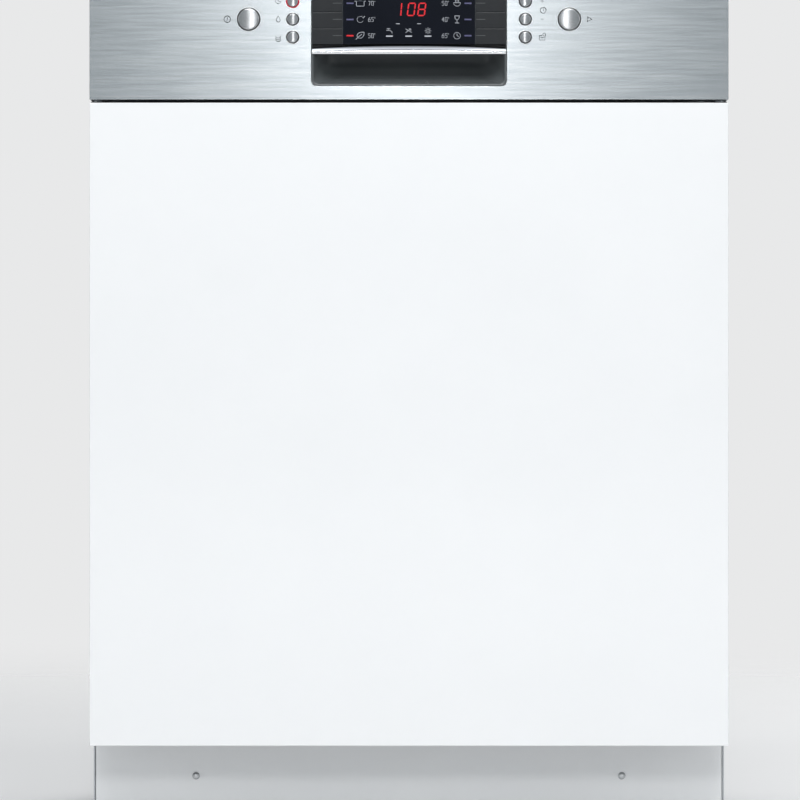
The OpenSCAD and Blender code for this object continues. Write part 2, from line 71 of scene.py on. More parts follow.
def span(node):
    """Lowest and highest corner of a CAD node, in millimetres."""
    low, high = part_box(node)
    return low / MM, high / MM


def centre(node):
    low, high = span(node)
    return (low + high) / 2


def joint_axis(name):
    """A point on a hinge's axis, in millimetres."""
    joint = next(j for j in frame["joints"] if j["name"] == name)
    return Vector(joint["pos_m"]) / MM


# ---------------------------------------------------------------- materials

def feed(tree, node, inputs):
    """Gives a node's inputs their values, or links them to the sockets named instead."""
    for name, value in inputs.items():
        if isinstance(value, bpy.types.NodeSocket):
            tree.links.new(value, node.inputs[name])
        else:
            node.inputs[name].default_value = value


def add(tree, kind, inputs=(), **settings):
    """A new shader node with its settings and inputs."""
    node = tree.nodes.new("ShaderNode" + kind)
    for name, value in settings.items():
        setattr(node, name, value)
    feed(tree, node, dict(inputs))
    return node


def place_in(tree, kind="Object"):
    """The shaded point's own position."""
    return add(tree, "TexCoord").outputs[kind]


def mix_colours(tree, factor, dark, light, **settings):
    mix = add(tree, "Mix", {"Factor": factor, "A": dark, "B": light}, data_type="RGBA", **settings)
    return mix.outputs["Result"]


def bumps(tree, height, strength, distance):
    node = add(tree, "Bump", {"Strength": strength, "Distance": distance, "Height": height})
    return node.outputs["Normal"]


def noise(tree, scale, stretch=(1, 1, 1), detail=4.0, roughness=0.55):
    """Noise over the row's frame in metres, squeezed by stretch along each axis."""
    squeezed = add(tree, "Mapping", {"Scale": stretch, "Vector": place_in(tree)}).outputs["Vector"]
    node = add(tree, "TexNoise", {"Scale": scale, "Detail": detail, "Roughness": roughness,
                                  "Distortion": 0.0, "Vector": squeezed})
    return node.outputs["Fac"]


def parts_of(material):
    """A material's node tree and its main shader."""
    return material.node_tree, material.node_tree.nodes["Principled BSDF"]


def base_colour(bsdf):
    return bsdf.inputs["Base Color"].links[0].from_socket


def surface(name, dark, light, rough=(0.35, 0.5), metal=0.0, scale=40.0, stretch=(1, 1, 1),
            bump=0.1, bump_scale=None, bump_height=0.0002, detail=4.0, **shader):
    """A material whose colour, roughness and bump vary over one noise and a finer one."""
    material = bpy.data.materials.new(name)
    material.use_nodes = True
    tree, bsdf = parts_of(material)
    coarse = noise(tree, scale, stretch, detail)
    rough = add(tree, "MapRange", {"To Min": rough[0], "To Max": rough[1], "Value": coarse}).outputs["Result"]
    feed(tree, bsdf, {"Base Color": mix_colours(tree, coarse, (*dark, 1), (*light, 1)), "Roughness": rough,
                      "Metallic": metal})
    if bump:
        fine = noise(tree, bump_scale or scale * 6, stretch, 3.0, 0.6)
        feed(tree, bsdf, {"Normal": bumps(tree, fine, bump, bump_height)})
    feed(tree, bsdf, {socket.replace("_", " "): value for socket, value in shader.items()})
    return material


def brushed(name, dark, light, along, across, rough, streak, bump, anisotropy, length=0.02, detail=5.0):
    """Brushed steel: fine streaks along one axis, with a highlight drawn out along another, across them."""
    squeeze = tuple(length if axis == along else 1.0 for axis in "XYZ")
    material = surface(name, dark, light, rough, 1.0, streak, squeeze, bump, streak, 0.00006, detail,
                       Anisotropic=anisotropy)
    tree, bsdf = parts_of(material)
    tangent = add(tree, "CombineXYZ", {axis: float(axis == across) for axis in "XYZ"})
    feed(tree, bsdf, {"Tangent": tangent.outputs["Vector"]})
    return material


def painted_reflection_strip(name):
    """Polished strip with painted reflection: its colour is bright along the foot and darkens towards the
    top, standing in for the bright floor and dark ceiling it reflects.
    """
    material = surface(name, (0.84, 0.85, 0.87), (0.88, 0.89, 0.90), (0.18, 0.20), 1.0, 60, (0.05, 1, 1), 0.0)
    tree, bsdf = parts_of(material)
    foot, top = span("grip_strip")[0].z + 0.6, span("display_window")[0].z - 1.2
    height = add(tree, "SeparateXYZ", {"Vector": place_in(tree)}).outputs["Z"]
    level = add(tree, "MapRange", {"From Min": foot * MM, "From Max": top * MM, "Value": height})
    # painted reflection: colour by height, white at the strip's foot to near black at its top
    ramp = add(tree, "ValToRGB", {"Fac": level.outputs["Result"]})
    stops = ramp.color_ramp.elements
    stops[0].position, stops[0].color = 0.10, (1, 1, 1, 1)
    stops[1].position, stops[1].color = 1.0, (0.03, 0.032, 0.036, 1)
    for position, colour in ((0.36, (0.32, 0.33, 0.345, 1)), (0.64, (0.11, 0.115, 0.125, 1))):
        stops.new(position).color = colour
    shade = mix_colours(tree, 1.0, base_colour(bsdf), ramp.outputs["Color"], blend_type="MULTIPLY")
    feed(tree, bsdf, {"Base Color": shade})
    return material


def glowing(name, colour, strength):
    """A lit sign: faint grain in the colour keeps it from looking cut out."""
    grain = [min(1, c * 1.15) for c in colour]
    return surface(name, colour, grain, (0.3, 0.4), bump=0, Emission_Color=(*colour, 1),
                   Emission_Strength=strength)


def perforated(name, dark, light, pitch, hole):
    """Thin steel with round holes in rows, pressed a little at each rim. The holes are a near-black colour,
    painted shade for the dark seen through them.
    """
    material = surface(name, dark, light, (0.28, 0.42), 1.0, 60, bump=0)
    tree, bsdf = parts_of(material)
    cells = add(tree, "TexVoronoi", {"Scale": 1 / (pitch * MM), "Randomness": 0.0, "Vector": place_in(tree)})
    rim = add(tree, "MapRange", {"From Min": hole / pitch * 0.9, "From Max": hole / pitch * 1.1,
                                 "Value": cells.outputs["Distance"]}).outputs["Result"]
    # holes painted near black: painted shade where one would see into the dark behind
    shade = mix_colours(tree, rim, (0.008, 0.008, 0.009, 1), base_colour(bsdf))
    feed(tree, bsdf, {"Base Color": shade, "Normal": bumps(tree, rim, 0.5, 0.0003)})
    return material


def make_materials():
    fine_skin = {"bump": 0.15, "bump_scale": 900, "bump_height": 0.00008}
    return {
        "fascia": brushed("brushed_fascia", (0.36, 0.395, 0.42), (0.68, 0.71, 0.725), "X", "Z", (0.25, 0.27),
                          560, 0.02, 0.78, 0.03, 4.0),
        "knob": brushed("brushed_knob", (0.55, 0.56, 0.57), (0.60, 0.61, 0.62), "X", "Z", (0.23, 0.245),
                        240, 0.0, 0.8, 0.05),
        "tub": brushed("tub_steel", (0.52, 0.54, 0.56), (0.66, 0.68, 0.70), "Z", "Y", (0.24, 0.36),
                       160, 0.06, 0.2),
        "liner": brushed("liner_steel", (0.54, 0.56, 0.58), (0.68, 0.70, 0.72), "X", "Z", (0.24, 0.36),
                         200, 0.06, 0.3),
        "zinc": surface("zinc_sheet", (0.40, 0.42, 0.44), (0.56, 0.58, 0.60), (0.38, 0.58), 0.85, 22,
                        bump=0.08, detail=8),
        # outer door sheet darkened so that the gap under the fascia reads dark: painted shade
        "gap_shade_zinc": surface("gap_shade_sheet", (0.10, 0.105, 0.11), (0.15, 0.155, 0.16), (0.45, 0.6), 0.3, 30),
        "part": surface("pressed_steel", (0.42, 0.43, 0.44), (0.58, 0.59, 0.60), (0.25, 0.42), 1.0, 90),
        "white": surface("white_lacquer", (0.865, 0.875, 0.885), (0.90, 0.908, 0.916), (0.30, 0.36), 0.0, 9,
                         bump=0.05, bump_scale=700, bump_height=0.00008, Coat_Weight=0.15,
                         Coat_Roughness=0.12),
        "enamel": surface("white_enamel", (0.84, 0.85, 0.86), (0.89, 0.90, 0.905), (0.34, 0.44), 0.0, 16,
                          bump=0.06, bump_scale=500),
        "gloss_dark": surface("gloss_anthracite", (0.080, 0.089, 0.093), (0.086, 0.095, 0.099), (0.26, 0.28),
                              0.0, 50, bump=0.03, bump_scale=500, Coat_Weight=0.6, Coat_Roughness=0.06),
        # lighter than the recess: painted highlight on the insert's glossy lip
        "lip": surface("insert_lip_painted_highlight", (0.10, 0.11, 0.115), (0.15, 0.16, 0.165), (0.15, 0.22), 0.2, 60, bump=0),
        # strip colour carries a painted reflection, dark above and bright at the foot
        "chrome": painted_reflection_strip("strip_chrome"),
        "glass": surface("smoked_window", (0.003, 0.004, 0.007), (0.005, 0.006, 0.012), (0.10, 0.16), 0.0, 20,
                         bump=0, Specular_IOR_Level=0.3, Coat_Weight=0.25, Coat_Roughness=0.03),
        "silver": surface("satin_silver", (0.60, 0.61, 0.62), (0.70, 0.71, 0.72), (0.26, 0.34), 1.0, 120,
                          bump=0),
        "key": surface("key_anthracite", (0.013, 0.015, 0.017), (0.020, 0.022, 0.025), (0.36, 0.46), 0.0, 90,
                       bump=0.12, bump_scale=1400, bump_height=0.00005, Specular_IOR_Level=0.3),
        # grey of the printed ticks and of the painted highlight on the keys' top edges
        "line": surface("key_print_and_painted_highlight", (0.09, 0.095, 0.10), (0.12, 0.125, 0.13), (0.3, 0.4), 0.0, 80, bump=0),
        "print": surface("grey_print", (0.028, 0.030, 0.033), (0.040, 0.042, 0.045), (0.5, 0.6), 0.0, 200,
                         bump=0),
        "crimson": glowing("ring_lamp", (0.48, 0.004, 0.022), 0.28),
        "sign": glowing("pale_sign", (0.46, 0.48, 0.52), 0.06),
        "lilac": glowing("lilac_lamp", (0.08, 0.08, 0.17), 0.02),
        "red": glowing("red_lamp", (0.50, 0.006, 0.012), 0.42),
        "grey": surface("grey_moulding", (0.26, 0.27, 0.285), (0.33, 0.34, 0.355), (0.38, 0.52), 0.0, 60,
                        **fine_skin),
        "pale": surface("pale_moulding", (0.62, 0.63, 0.64), (0.70, 0.71, 0.72), (0.36, 0.5), 0.0, 50,
                        **fine_skin),
        "black": surface("black_moulding", (0.018, 0.018, 0.02), (0.032, 0.032, 0.035), (0.42, 0.58), 0.0, 60,
                         bump=0.2, bump_scale=900, bump_height=0.0001),
        "rubber": surface("seal_rubber", (0.035, 0.035, 0.038), (0.055, 0.055, 0.06), (0.55, 0.7), 0.0, 80,
                          bump=0.2, bump_scale=600),
        "coat": surface("wire_coat", (0.34, 0.36, 0.385), (0.41, 0.43, 0.455), (0.30, 0.42), 0.0, 120,
                        bump=0.06, bump_scale=800),
        "mesh": perforated("filter_mesh", (0.50, 0.52, 0.54), (0.64, 0.66, 0.68), 3.2, 1.0),
        "fine_mesh": perforated("cartridge_mesh", (0.36, 0.37, 0.38), (0.46, 0.47, 0.48), 2.0, 0.6),
        "board": surface("solder_mask", (0.015, 0.10, 0.04), (0.03, 0.15, 0.065), (0.3, 0.45), 0.0, 160),
        "copper": surface("winding", (0.38, 0.16, 0.07), (0.55, 0.26, 0.12), (0.3, 0.45), 0.9, 300),
        "floor": surface("studio_floor", (0.72, 0.725, 0.73), (0.76, 0.765, 0.77), (0.5, 0.65), 0.0, 3,
                         bump=0),
    }


MAT = make_materials()


# ---------------------------------------------------------------- outlines

def xz(a, b, depth):
    """Outlines seen from the front."""
    return (a, depth, b)


def yz(a, b, depth):
    """Outlines seen from the side."""
    return (depth, a, b)


def xy(a, b, depth):
    """Outlines seen from above."""
    return (a, b, depth)


def polar(radius, degrees, ca=0.0, cb=0.0):
    """A point on a circle round (ca, cb)."""
    return (ca + radius * math.cos(math.radians(degrees)), cb + radius * math.sin(math.radians(degrees)))


def arc(ca, cb, radius, start=0, end=360, steps=20):
    """Points on a circle, angles in degrees."""
    return [polar(radius, start + (end - start) * k / steps, ca, cb) for k in range(steps + 1)]


def turns(count, first=0.0):
    """Angles in degrees that share a full turn."""
    return [first + 360 * k / count for k in range(count)]


def round_box(a0, a1, b0, b1, radius, steps=6):
    """A rectangle with round corners, as an outline. radius is one number or four from low left round."""
    r = [radius] * 4 if isinstance(radius, (int, float)) else list(radius)
    corners = ((a0 + r[0], b0 + r[0], 180), (a1 - r[1], b0 + r[1], 270), (a1 - r[2], b1 - r[2], 0),
               (a0 + r[3], b1 - r[3], 90))
    return [p for (a, b, start), turn in zip(corners, r) for p in arc(a, b, turn, start, start + 90, steps)]


def fillet(points, radius, steps=4):
    """A polyline in space with its corners rounded by Bezier bends."""
    points = [Vector(p) for p in points]
    made = [points[0]]
    for before, p, after in zip(points, points[1:], points[2:]):
        reach = min(radius, (before - p).length * 0.49, (after - p).length * 0.49)
        a = p + (before - p).normalized() * reach
        b = p + (after - p).normalized() * reach
        for k in range(steps + 1):
            t = k / steps
            made.append(a * (1 - t) ** 2 + p * 2 * t * (1 - t) + b * t ** 2)
    return made + [points[-1]]


def spread(start, end, count):
    """Evenly spaced values from start to end."""
    return [start + (end - start) * i / (count - 1) for i in range(count)]


def spokes(axis, steps):
    """Unit vectors square to an axis, once round it."""
    side = axis.orthogonal().normalized()
    other = axis.cross(side)
    return [side * c + other * s for c, s in (polar(1, a) for a in turns(steps))]


# ---------------------------------------------------------------- mesh building

class Shape:
    """Gathers closed solids in millimetres and turns them into one piece."""

    def __init__(self):
        self.verts = []
        self.faces = []

    def add(self, verts, faces):
        start = len(self.verts)
        self.verts += [Vector(v) for v in verts]
        self.faces += [[start + i for i in face] for face in faces]
        return self

    def box(self, x0, x1, y0, y1, z0, z1):
        corners = [(x, y, z) for z in (z0, z1) for y in (y0, y1) for x in (x0, x1)]
        sides = [(0, 2, 3, 1), (4, 5, 7, 6), (0, 1, 5, 4), (2, 6, 7, 3), (0, 4, 6, 2), (1, 3, 7, 5)]
        return self.add(corners, sides)

    def loft(self, rings, path_closed=False):
        """Skin over rings of equal length; open ends are capped."""
        n = len(rings[0])
        count = len(rings)
        faces = []
        for a in range(count if path_closed else count - 1):
            b = (a + 1) % count
            for i in range(n):
                j = (i + 1) % n
                faces.append([a * n + i, a * n + j, b * n + j, b * n + i])
        if not path_closed:
            faces.append(list(range(n))[::-1])
            faces.append([(count - 1) * n + i for i in range(n)])
        return self.add([p for ring in rings for p in ring], faces)

    def lathe(self, profile, origin, axis, steps=48):
        """Turns (distance along axis, radius) points round an axis. Both ends are capped."""
        axis, origin = Vector(axis).normalized(), Vector(origin)
        around = spokes(axis, steps)
        return self.loft([[origin + axis * along + out * radius for out in around]
                          for along, radius in profile])

    def ring(self, outline, origin, axis, steps=48):
        """A closed ring: the (along, radius) outline carried once round an axis."""
        axis, origin = Vector(axis).normalized(), Vector(origin)
        return self.loft([[origin + axis * along + out * radius for along, radius in outline]
                          for out in spokes(axis, steps)], path_closed=True)

    def tube(self, path, radius, sides=8, closed=False, squash=1.0, up=None):
        """A round wire along points. With up, the section is radius * squash thick along up."""
        path = [Vector(p) for p in path]
        count = len(path)
        rings = []
        normal = None
        for i, p in enumerate(path):
            before = path[i - 1] if i or closed else p
            after = path[(i + 1) % count] if i < count - 1 or closed else p
            along = (after - before).normalized()
            normal = Vector(up) if up is not None else normal or along.orthogonal()
            normal = (normal - along * normal.dot(along)).normalized()
            other = along.cross(normal)
            rings.append([p + (normal * c * squash + other * s) * radius
                          for c, s in (polar(1, a) for a in turns(sides))])
        return self.loft(rings, path_closed=closed)

    def prism(self, outline, place, depth0, depth1):
        """A flat outline of (a, b) points, set in space by place(a, b, depth)."""
        return self.loft([[place(a, b, d) for a, b in outline] for d in (depth0, depth1)])

    def piece(self, name, body, slot, material, replaces=(), bevel=0.0, smooth=38):
        mesh = bpy.data.meshes.new(name)
        shape = bmesh.new()
        made = [shape.verts.new(v * MM) for v in self.verts]
        for face in self.faces:
            try:
                shape.faces.new([made[i] for i in face])
            except ValueError:
                continue
        bmesh.ops.remove_doubles(shape, verts=shape.verts, dist=2e-6)
        bmesh.ops.recalc_face_normals(shape, faces=shape.faces)
        if bevel:
            sharp = [e for e in shape.edges
                     if len(e.link_faces) == 2 and e.calc_face_angle(0) > math.radians(32)]
            bmesh.ops.bevel(shape, geom=sharp, offset=bevel * MM, segments=2, profile=0.5,
                            affect="EDGES", clamp_overlap=True)
        shape.to_mesh(mesh)
        shape.free()
        mesh.shade_smooth()
        mesh.set_sharp_from_angle(angle=math.radians(smooth))
        mesh.materials.append(MAT[material])
        piece = bpy.data.objects.new(name, mesh)
        bpy.context.scene.collection.objects.link(piece)
        if bevel:
            flat_first(piece)
        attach(piece, body)
        if replaces:
            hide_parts(*replaces)
        return piece


def smooth_group():
    """Geometry nodes that shade smooth, and keep edges sharper than 35 degrees."""
    group = bpy.data.node_groups.new("smooth_by_angle", "GeometryNodeTree")
    for way in ("INPUT", "OUTPUT"):
        group.interface.new_socket("Geometry", in_out=way, socket_type="NodeSocketGeometry")
    start, end, faces, edges, angle, less = (group.nodes.new(kind) for kind in (
        "NodeGroupInput", "NodeGroupOutput", "GeometryNodeSetShadeSmooth", "GeometryNodeSetShadeSmooth",
        "GeometryNodeInputMeshEdgeAngle", "FunctionNodeCompare"))
    faces.domain = "FACE"
    edges.domain = "EDGE"
    less.operation = "LESS_THAN"
    less.inputs["B"].default_value = math.radians(35)
    for source, target in ((start.outputs[0], faces.inputs["Geometry"]),
                           (faces.outputs[0], edges.inputs["Geometry"]),
                           (angle.outputs["Unsigned Angle"], less.inputs["A"]),
                           (less.outputs["Result"], edges.inputs["Shade Smooth"]),
                           (edges.outputs[0], end.inputs[0])):
        group.links.new(source, target)
    return group


SMOOTH = smooth_group()


def modify(piece, name, kind, **settings):
    modifier = piece.modifiers.new(name, kind)
    for setting, value in settings.items():
        setattr(modifier, setting, value)


def flat_first(piece):
    """Large faces keep their own normal, so that broken edges don't bend the light across them."""
    modify(piece, "normal", "WEIGHTED_NORMAL", keep_sharp=True, weight=90)


def dress(node, material, bevel=0.4):
    """A CAD node whose shape is right: its own material, with its edges broken by modifiers."""
    piece = frame["nodes"][node]
    piece.data.materials.clear()
    piece.data.materials.append(MAT[material])
    if "custom_normal" in piece.data.attributes:
        piece.data.attributes.remove(piece.data.attributes["custom_normal"])
    modify(piece, "weld", "WELD", merge_threshold=5e-6)
    modify(piece, "flat", "DECIMATE", decimate_type="DISSOLVE", angle_limit=math.radians(0.6))
    if bevel:
        modify(piece, "edge", "BEVEL", width=bevel * MM, segments=2, limit_method="ANGLE",
               angle_limit=math.radians(38))
    modify(piece, "shade", "NODES", node_group=SMOOTH)
    flat_first(piece)


# ---------------------------------------------------------------- the door's front

FACE = span("control_fascia")[0].y        # plane of the steel and of the white front
INSERT_LOW, INSERT_HIGH = span("grip_shell")
STRIP_LOW, STRIP_HIGH = span("grip_strip")
GLASS_LOW, GLASS_HIGH = span("display_window")
PRINT_DEPTH = 0.12                        # how far printed marks stand proud
PRINT_ROOT = 0.02                         # and how far they reach into what carries them
COLLAR = 1.9                              # how far a button's collar is wider than its cap


def strokes(shape, lines, width, depth, proud=PRINT_DEPTH):
    """Flat ribbons along polylines of (x, z), standing proud of the plane at depth."""
    for line in lines:
        for a, b in zip(line, line[1:]):
            a, b = Vector(a), Vector(b)
            if (b - a).length < 1e-6:
                continue
            along = (b - a).normalized() * width / 2
            side = Vector((-along.y, along.x))
            corners = [a - along - side, b + along - side, b + along + side, a - along + side]
            shape.prism(corners, xz, depth - proud, depth + PRINT_ROOT)


def make_fascia():
    dress("furniture_panel", "white", 1.0)
    dress("control_fascia", "fascia", 0.35)
    # the outer sheet's dark colour is painted shade for the gap between fascia and white front
    dress("door_outer_panel", "gap_shade_zinc", 0.3)


def bowl(rings, wall=1.4):
    """A closed shell: rings of (depth, half width, low, high, corner radius) from the mouth inwards."""
    def ring(depth, half, low, high, radius, grow):
        foot, head = radius + grow, min(radius, 2) + grow
        outline = round_box(-half - grow, half + grow, low - grow, high + grow, (foot, foot, head, head), 8)
        return [xz(a, b, depth) for a, b in outline]
    outer = [ring(FACE + d + (wall if i else 0), *sizes, wall) for i, (d, *sizes) in enumerate(rings)]
    inner = [ring(FACE + d, *sizes, 0) for d, *sizes in rings]
    return Shape().loft(outer[::-1] + inner)


def make_insert():
    """Frame, recess and carrier of the moulded insert."""
    half = INSERT_HIGH.x
    low = INSERT_LOW.z
    sill = STRIP_LOW.z
    # depth, inset from the sides, height over the foot, height over the sill, corner radius
    rings = ((0.2, 1.2, 1.3, 0, 4.6), (1.0, 1.8, 1.8, 0, 5.2), (3.0, 2.6, 2.7, 0, 6.4),
             (7.0, 4.2, 4.2, 0, 8.6), (12, 6.4, 6.2, 4, 11), (18, 9.4, 9.0, 6, 13.5), (24, 14, 12.6, 6, 13),
             (28.5, 20, 16.8, 5.4, 9), (31, 27, 21.2, 4.4, 5), (31.8, 35, 25, 2, 1.2))
    shape = bowl([(d, half - inset, low + foot, sill + head, r) for d, inset, foot, head, r in rings])
    shape.piece("recess_shell", "door", "dark_insert", "gloss_dark", ["grip_shell"], smooth=60)
    # carrier behind the keys, display and strip
    shape = Shape()
    for y0, y1, z0, z1 in ((3.2, 6.4, GLASS_LOW.z - 0.2, INSERT_HIGH.z - 0.2),
                           (3.4, 5.4, GLASS_LOW.z - 4.2, GLASS_LOW.z - 0.1),
                           (0.5, 5.4, GLASS_HIGH.z + 0.3, INSERT_HIGH.z - 0.4)):
        shape.box(-half + 0.6, half - 0.6, FACE + y0, FACE + y1, z0, z1)
    for side in SIDES:
        shape.lathe([(0, 3), (INSERT_HIGH.y - FACE - 14, 3)], (side * 84, FACE + 6, INSERT_HIGH.z - 8),
                    BACK, 20)
    shape.piece("insert_carrier", "door", "dark_insert", "key", bevel=0.3)
    # dark rim all round with a lighter lip inside it; the lip's lighter grey is painted highlight for its
    # glossy edge
    outline = round_box(-half + 0.35, half - 0.35, low + 0.35, INSERT_HIGH.z - 0.35, (4.7, 4.7, 0.8, 0.8), 8)
    rim = Shape().tube([xz(a, b, FACE + 0.35) for a, b in outline], 0.42, 8, closed=True)
    rim.piece("insert_rim", "door", "dark_insert", "gloss_dark", smooth=60)
    line = ([(-half + 1.0, sill - 0.4)] + arc(-half + 5.1, low + 5.1, 4.1, 180, 270, 8)
            + arc(half - 5.1, low + 5.1, 4.1, 270, 360, 8) + [(half - 1.0, sill - 0.4)])
    lip = Shape().tube([xz(a, b, FACE + 0.3) for a, b in line], 0.34, 8)
    lip.piece("insert_lip_painted_highlight", "door", "dark_insert", "lip", smooth=60)


def make_strip():
    """Chrome strip over the finger recess: flat below, arched above, fullest near its foot."""
    half, back, low = STRIP_HIGH.x, STRIP_HIGH.y, STRIP_LOW.z
    tall = GLASS_LOW.z - 0.3 - low
    drop = 2.7
    rings = []
    for x in spread(-half, half, 41):
        outward = (x / half) ** 2
        top = low + tall - drop * outward
        swell = 1.9 * (1 - 0.25 * outward)
        section = [(back, low + 0.2), (FACE + 1.2, low), (FACE - swell * 0.55, low + 0.25)]
        for t in spread(0.08, 1.0, 9):
            bulge = math.cos((t - 0.16) / 0.84 * math.pi / 2) if t > 0.16 else 1 - (0.16 - t) * 3
            section.append((FACE + 1.6 - (1.6 + swell) * max(bulge, 0) ** 0.7, low + (top - low) * t))
        section += [(FACE + 3, top), (back, top)]
        rings.append([(x, max(y, STRIP_LOW.y), z) for y, z in section])
    Shape().loft(rings).piece("chrome_strip", "door", "strip_chrome", "chrome", ["grip_strip"], smooth=50)


def make_keys():
    """Six program keys: the CAD solids, a light line along each top edge as painted highlight, and a printed
    tick by the display.
    """
    for side, sign in (("left", -1), ("right", 1)):
        for i in (1, 2, 3):
            node = f"program_key_{side}_{i}"
            dress(node, "key", 0.25)
            low, high = span(node)
            inner = high.x if sign < 0 else low.x
            top, tick = high.z - 0.35, high.z - 6.6
            marks = Shape()
            # light line on the top edge: painted highlight where the edge catches the light
            strokes(marks, [[(low.x + 0.7, top), (high.x - 0.7, top)]], 0.3, low.y, 0.05)
            strokes(marks, [[(inner + sign * 0.4, tick), (inner + sign * 8.6, tick)]], 0.42, low.y, 0.05)
            marks.piece(f"key_marks_{side}_{i}", node, "key_grey", "line")
    # fine frame round the display
    lines = Shape()
    for x in (GLASS_LOW.x + 0.1, GLASS_HIGH.x - 0.1):
        strokes(lines, [[(x, GLASS_LOW.z), (x, GLASS_HIGH.z)]], 0.25, FACE + 0.35, 0.05)
    lines.piece("display_frame", "door", "dark_insert", "gloss_dark")


SEGMENTS = {"0": "abcdef", "8": "abcdefg"}
ENDS = {"a": ((-1, 1), (1, 1)), "b": ((1, 1), (1, 0)), "c": ((1, 0), (1, -1)), "d": ((-1, -1), (1, -1)),
        "e": ((-1, 0), (-1, -1)), "f": ((-1, 1), (-1, 0)), "g": ((-1, 0), (1, 0))}
DIGITS = {"0": [(0, 0), (1, 0), (1, 2), (0, 2), (0, 0)], "4": [(0.8, 0), (0.8, 2), (0, 0.7), (1.1, 0.7)],
          "5": [(0, 0), (0.8, 0), (1, 0.35), (1, 0.9), (0.8, 1.2), (0, 1.2), (0, 2), (1, 2)],
          "6": [(0.8, 2), (0, 1.1), (0, 0), (1, 0), (1, 1.1), (0, 1.1)], "7": [(0, 2), (1, 2), (0.4, 0)]}
# pictograms as polylines of (x, z) round their own centre
SIGNS = {
    "pot": [[(-3.6, 2), (-3.6, -2.6), (3.6, -2.6), (3.6, 2), (-3.6, 2)], [(-5, 2), (5, 2)],
            [(-1.2, 3.4), (1.2, 3.4)]],
    "again": [arc(0, 0, 2.9, 30, 330), [(1.2, 3), (2.8, 1.3), (4.2, 3.1)]],
    "leaf": [[(-2.4, -1.9), (-3.0, 0.3), (-2.0, 2.2), (0.4, 3.2), (3.6, 3.3), (3.4, 0.6), (2.2, -1.4),
              (0.2, -2.4), (-2.4, -1.9)], [(-4.0, -3.4), (-2.0, -1.4), (1.4, 1.3)]],
    "bowl": [arc(0, 0.6, 3.2, 180, 360, 10), [(-3.2, 0.6), (3.2, 0.6)], [(-1.4, 1.6), (-1.4, 3.6)],
             [(0, 1.6), (0, 4.1)], [(1.4, 1.6), (1.4, 3.6)]],
    "glass": [[(-2.3, 3.4), (-1.6, 0.6), (0, -0.4), (1.6, 0.6), (2.3, 3.4), (-2.3, 3.4)],
              [(0, -0.4), (0, -3.2)], [(-1.7, -3.2), (1.7, -3.2)]],
    "clock": [arc(0, 0, 3.1), [(0, 2), (0, 0), (1.5, -0.7)]],
    "tap": [[(-2.6, 5.4), (0.6, 5.4), (2.4, 4.2), (2.4, 2.8)], [(-0.8, 5.4), (-0.8, 7)],
            [(-2.2, 7), (0.6, 7)]],
    "arrows": [[(-2.6, 3.4), (1.8, 6.8)], [(0.3, 6.9), (2, 6.9), (2, 5.3)], [(2.6, 3.6), (0.4, 4.8)],
               [(-2.6, 6.6), (-0.6, 5.4)]],
    "star": [arc(0, 5, 1.2, steps=12)] + [[polar(1.9, a, 0, 5), polar(2.8, a, 0, 5)] for a in turns(8)],
    "power": [arc(0, 0, 3.0, steps=28), [(0, -1.5), (0, 1.5)]],
    "delay": [arc(0, 0.4, 2.6, 40, 360), [(0, 2.2), (0, 0.4), (1.6, -0.4)]],
    "drop": [arc(0, -0.8, 1.9, 150, 390, 12) + [(0, 3.0), polar(1.9, 150, 0, -0.8)]],
    "plates": [arc(0, 1.8 - 1.7 * k, 2.6, 200, 340, 8) for k in range(3)],
    "plus": [[(-1.2, 0), (1.2, 0)], [(0, -1.2), (0, 1.2)]],
    "timer": [arc(1.0, 0, 2.7), [(1.0, 1.7), (1.0, 0), (2.2, -0.8)]],
    "minus": [[(-1.2, 0), (1.2, 0)]],
    "basket": [[(-2.6, 1.4), (-2.6, -2.8), (2.6, -2.8), (2.6, 0.2)], [(-2.6, 1.4), (-0.2, 1.4)],
               arc(2.0, 2.4, 1.4, steps=12), [(-1.4, -0.4), (1.2, -0.4)]],
    "start": [[(-1.6, -2.2), (-1.6, 2.2), (2.4, 0), (-1.6, -2.2)]],
}


def sign_at(name, x, z):
    return [[(x + a, z + b) for a, b in line] for line in SIGNS[name]]


def segment_digit(shape, digit, x, z, depth, wide=6.2, high=11.4, thick=1.25, slant=0.13):
    """A slanted seven-segment digit of tapered bars, centred on (x, z)."""
    for name in SEGMENTS[digit]:
        a, b = (Vector((p * wide / 2, q * high / 2)) for p, q in ENDS[name])
        along = (b - a).normalized()
        side = Vector((-along.y, along.x)) * thick / 2
        a += along * thick * 0.18
        b -= along * thick * 0.18
        tip = along * thick / 2
        corners = [a, a + tip - side, b - tip - side, b, b - tip + side, a + tip + side]
        outline = [(x + c.x + slant * c.y, z + c.y) for c in corners]
        shape.prism(outline, xz, depth - PRINT_DEPTH, depth + PRINT_ROOT)


def small_number(text, x, z, high=3.9):
    """Stroke digits with a degree ring, left end at x."""
    wide = high * 0.46
    step = wide * 1.62
    lines = [[(x + i * step + a * wide, z + (b - 1) * high / 2) for a, b in DIGITS[digit]]
             for i, digit in enumerate(text)]
    return lines + [arc(x + len(text) * step + 0.1, z + high / 2 - 0.3, 0.45, steps=8)]


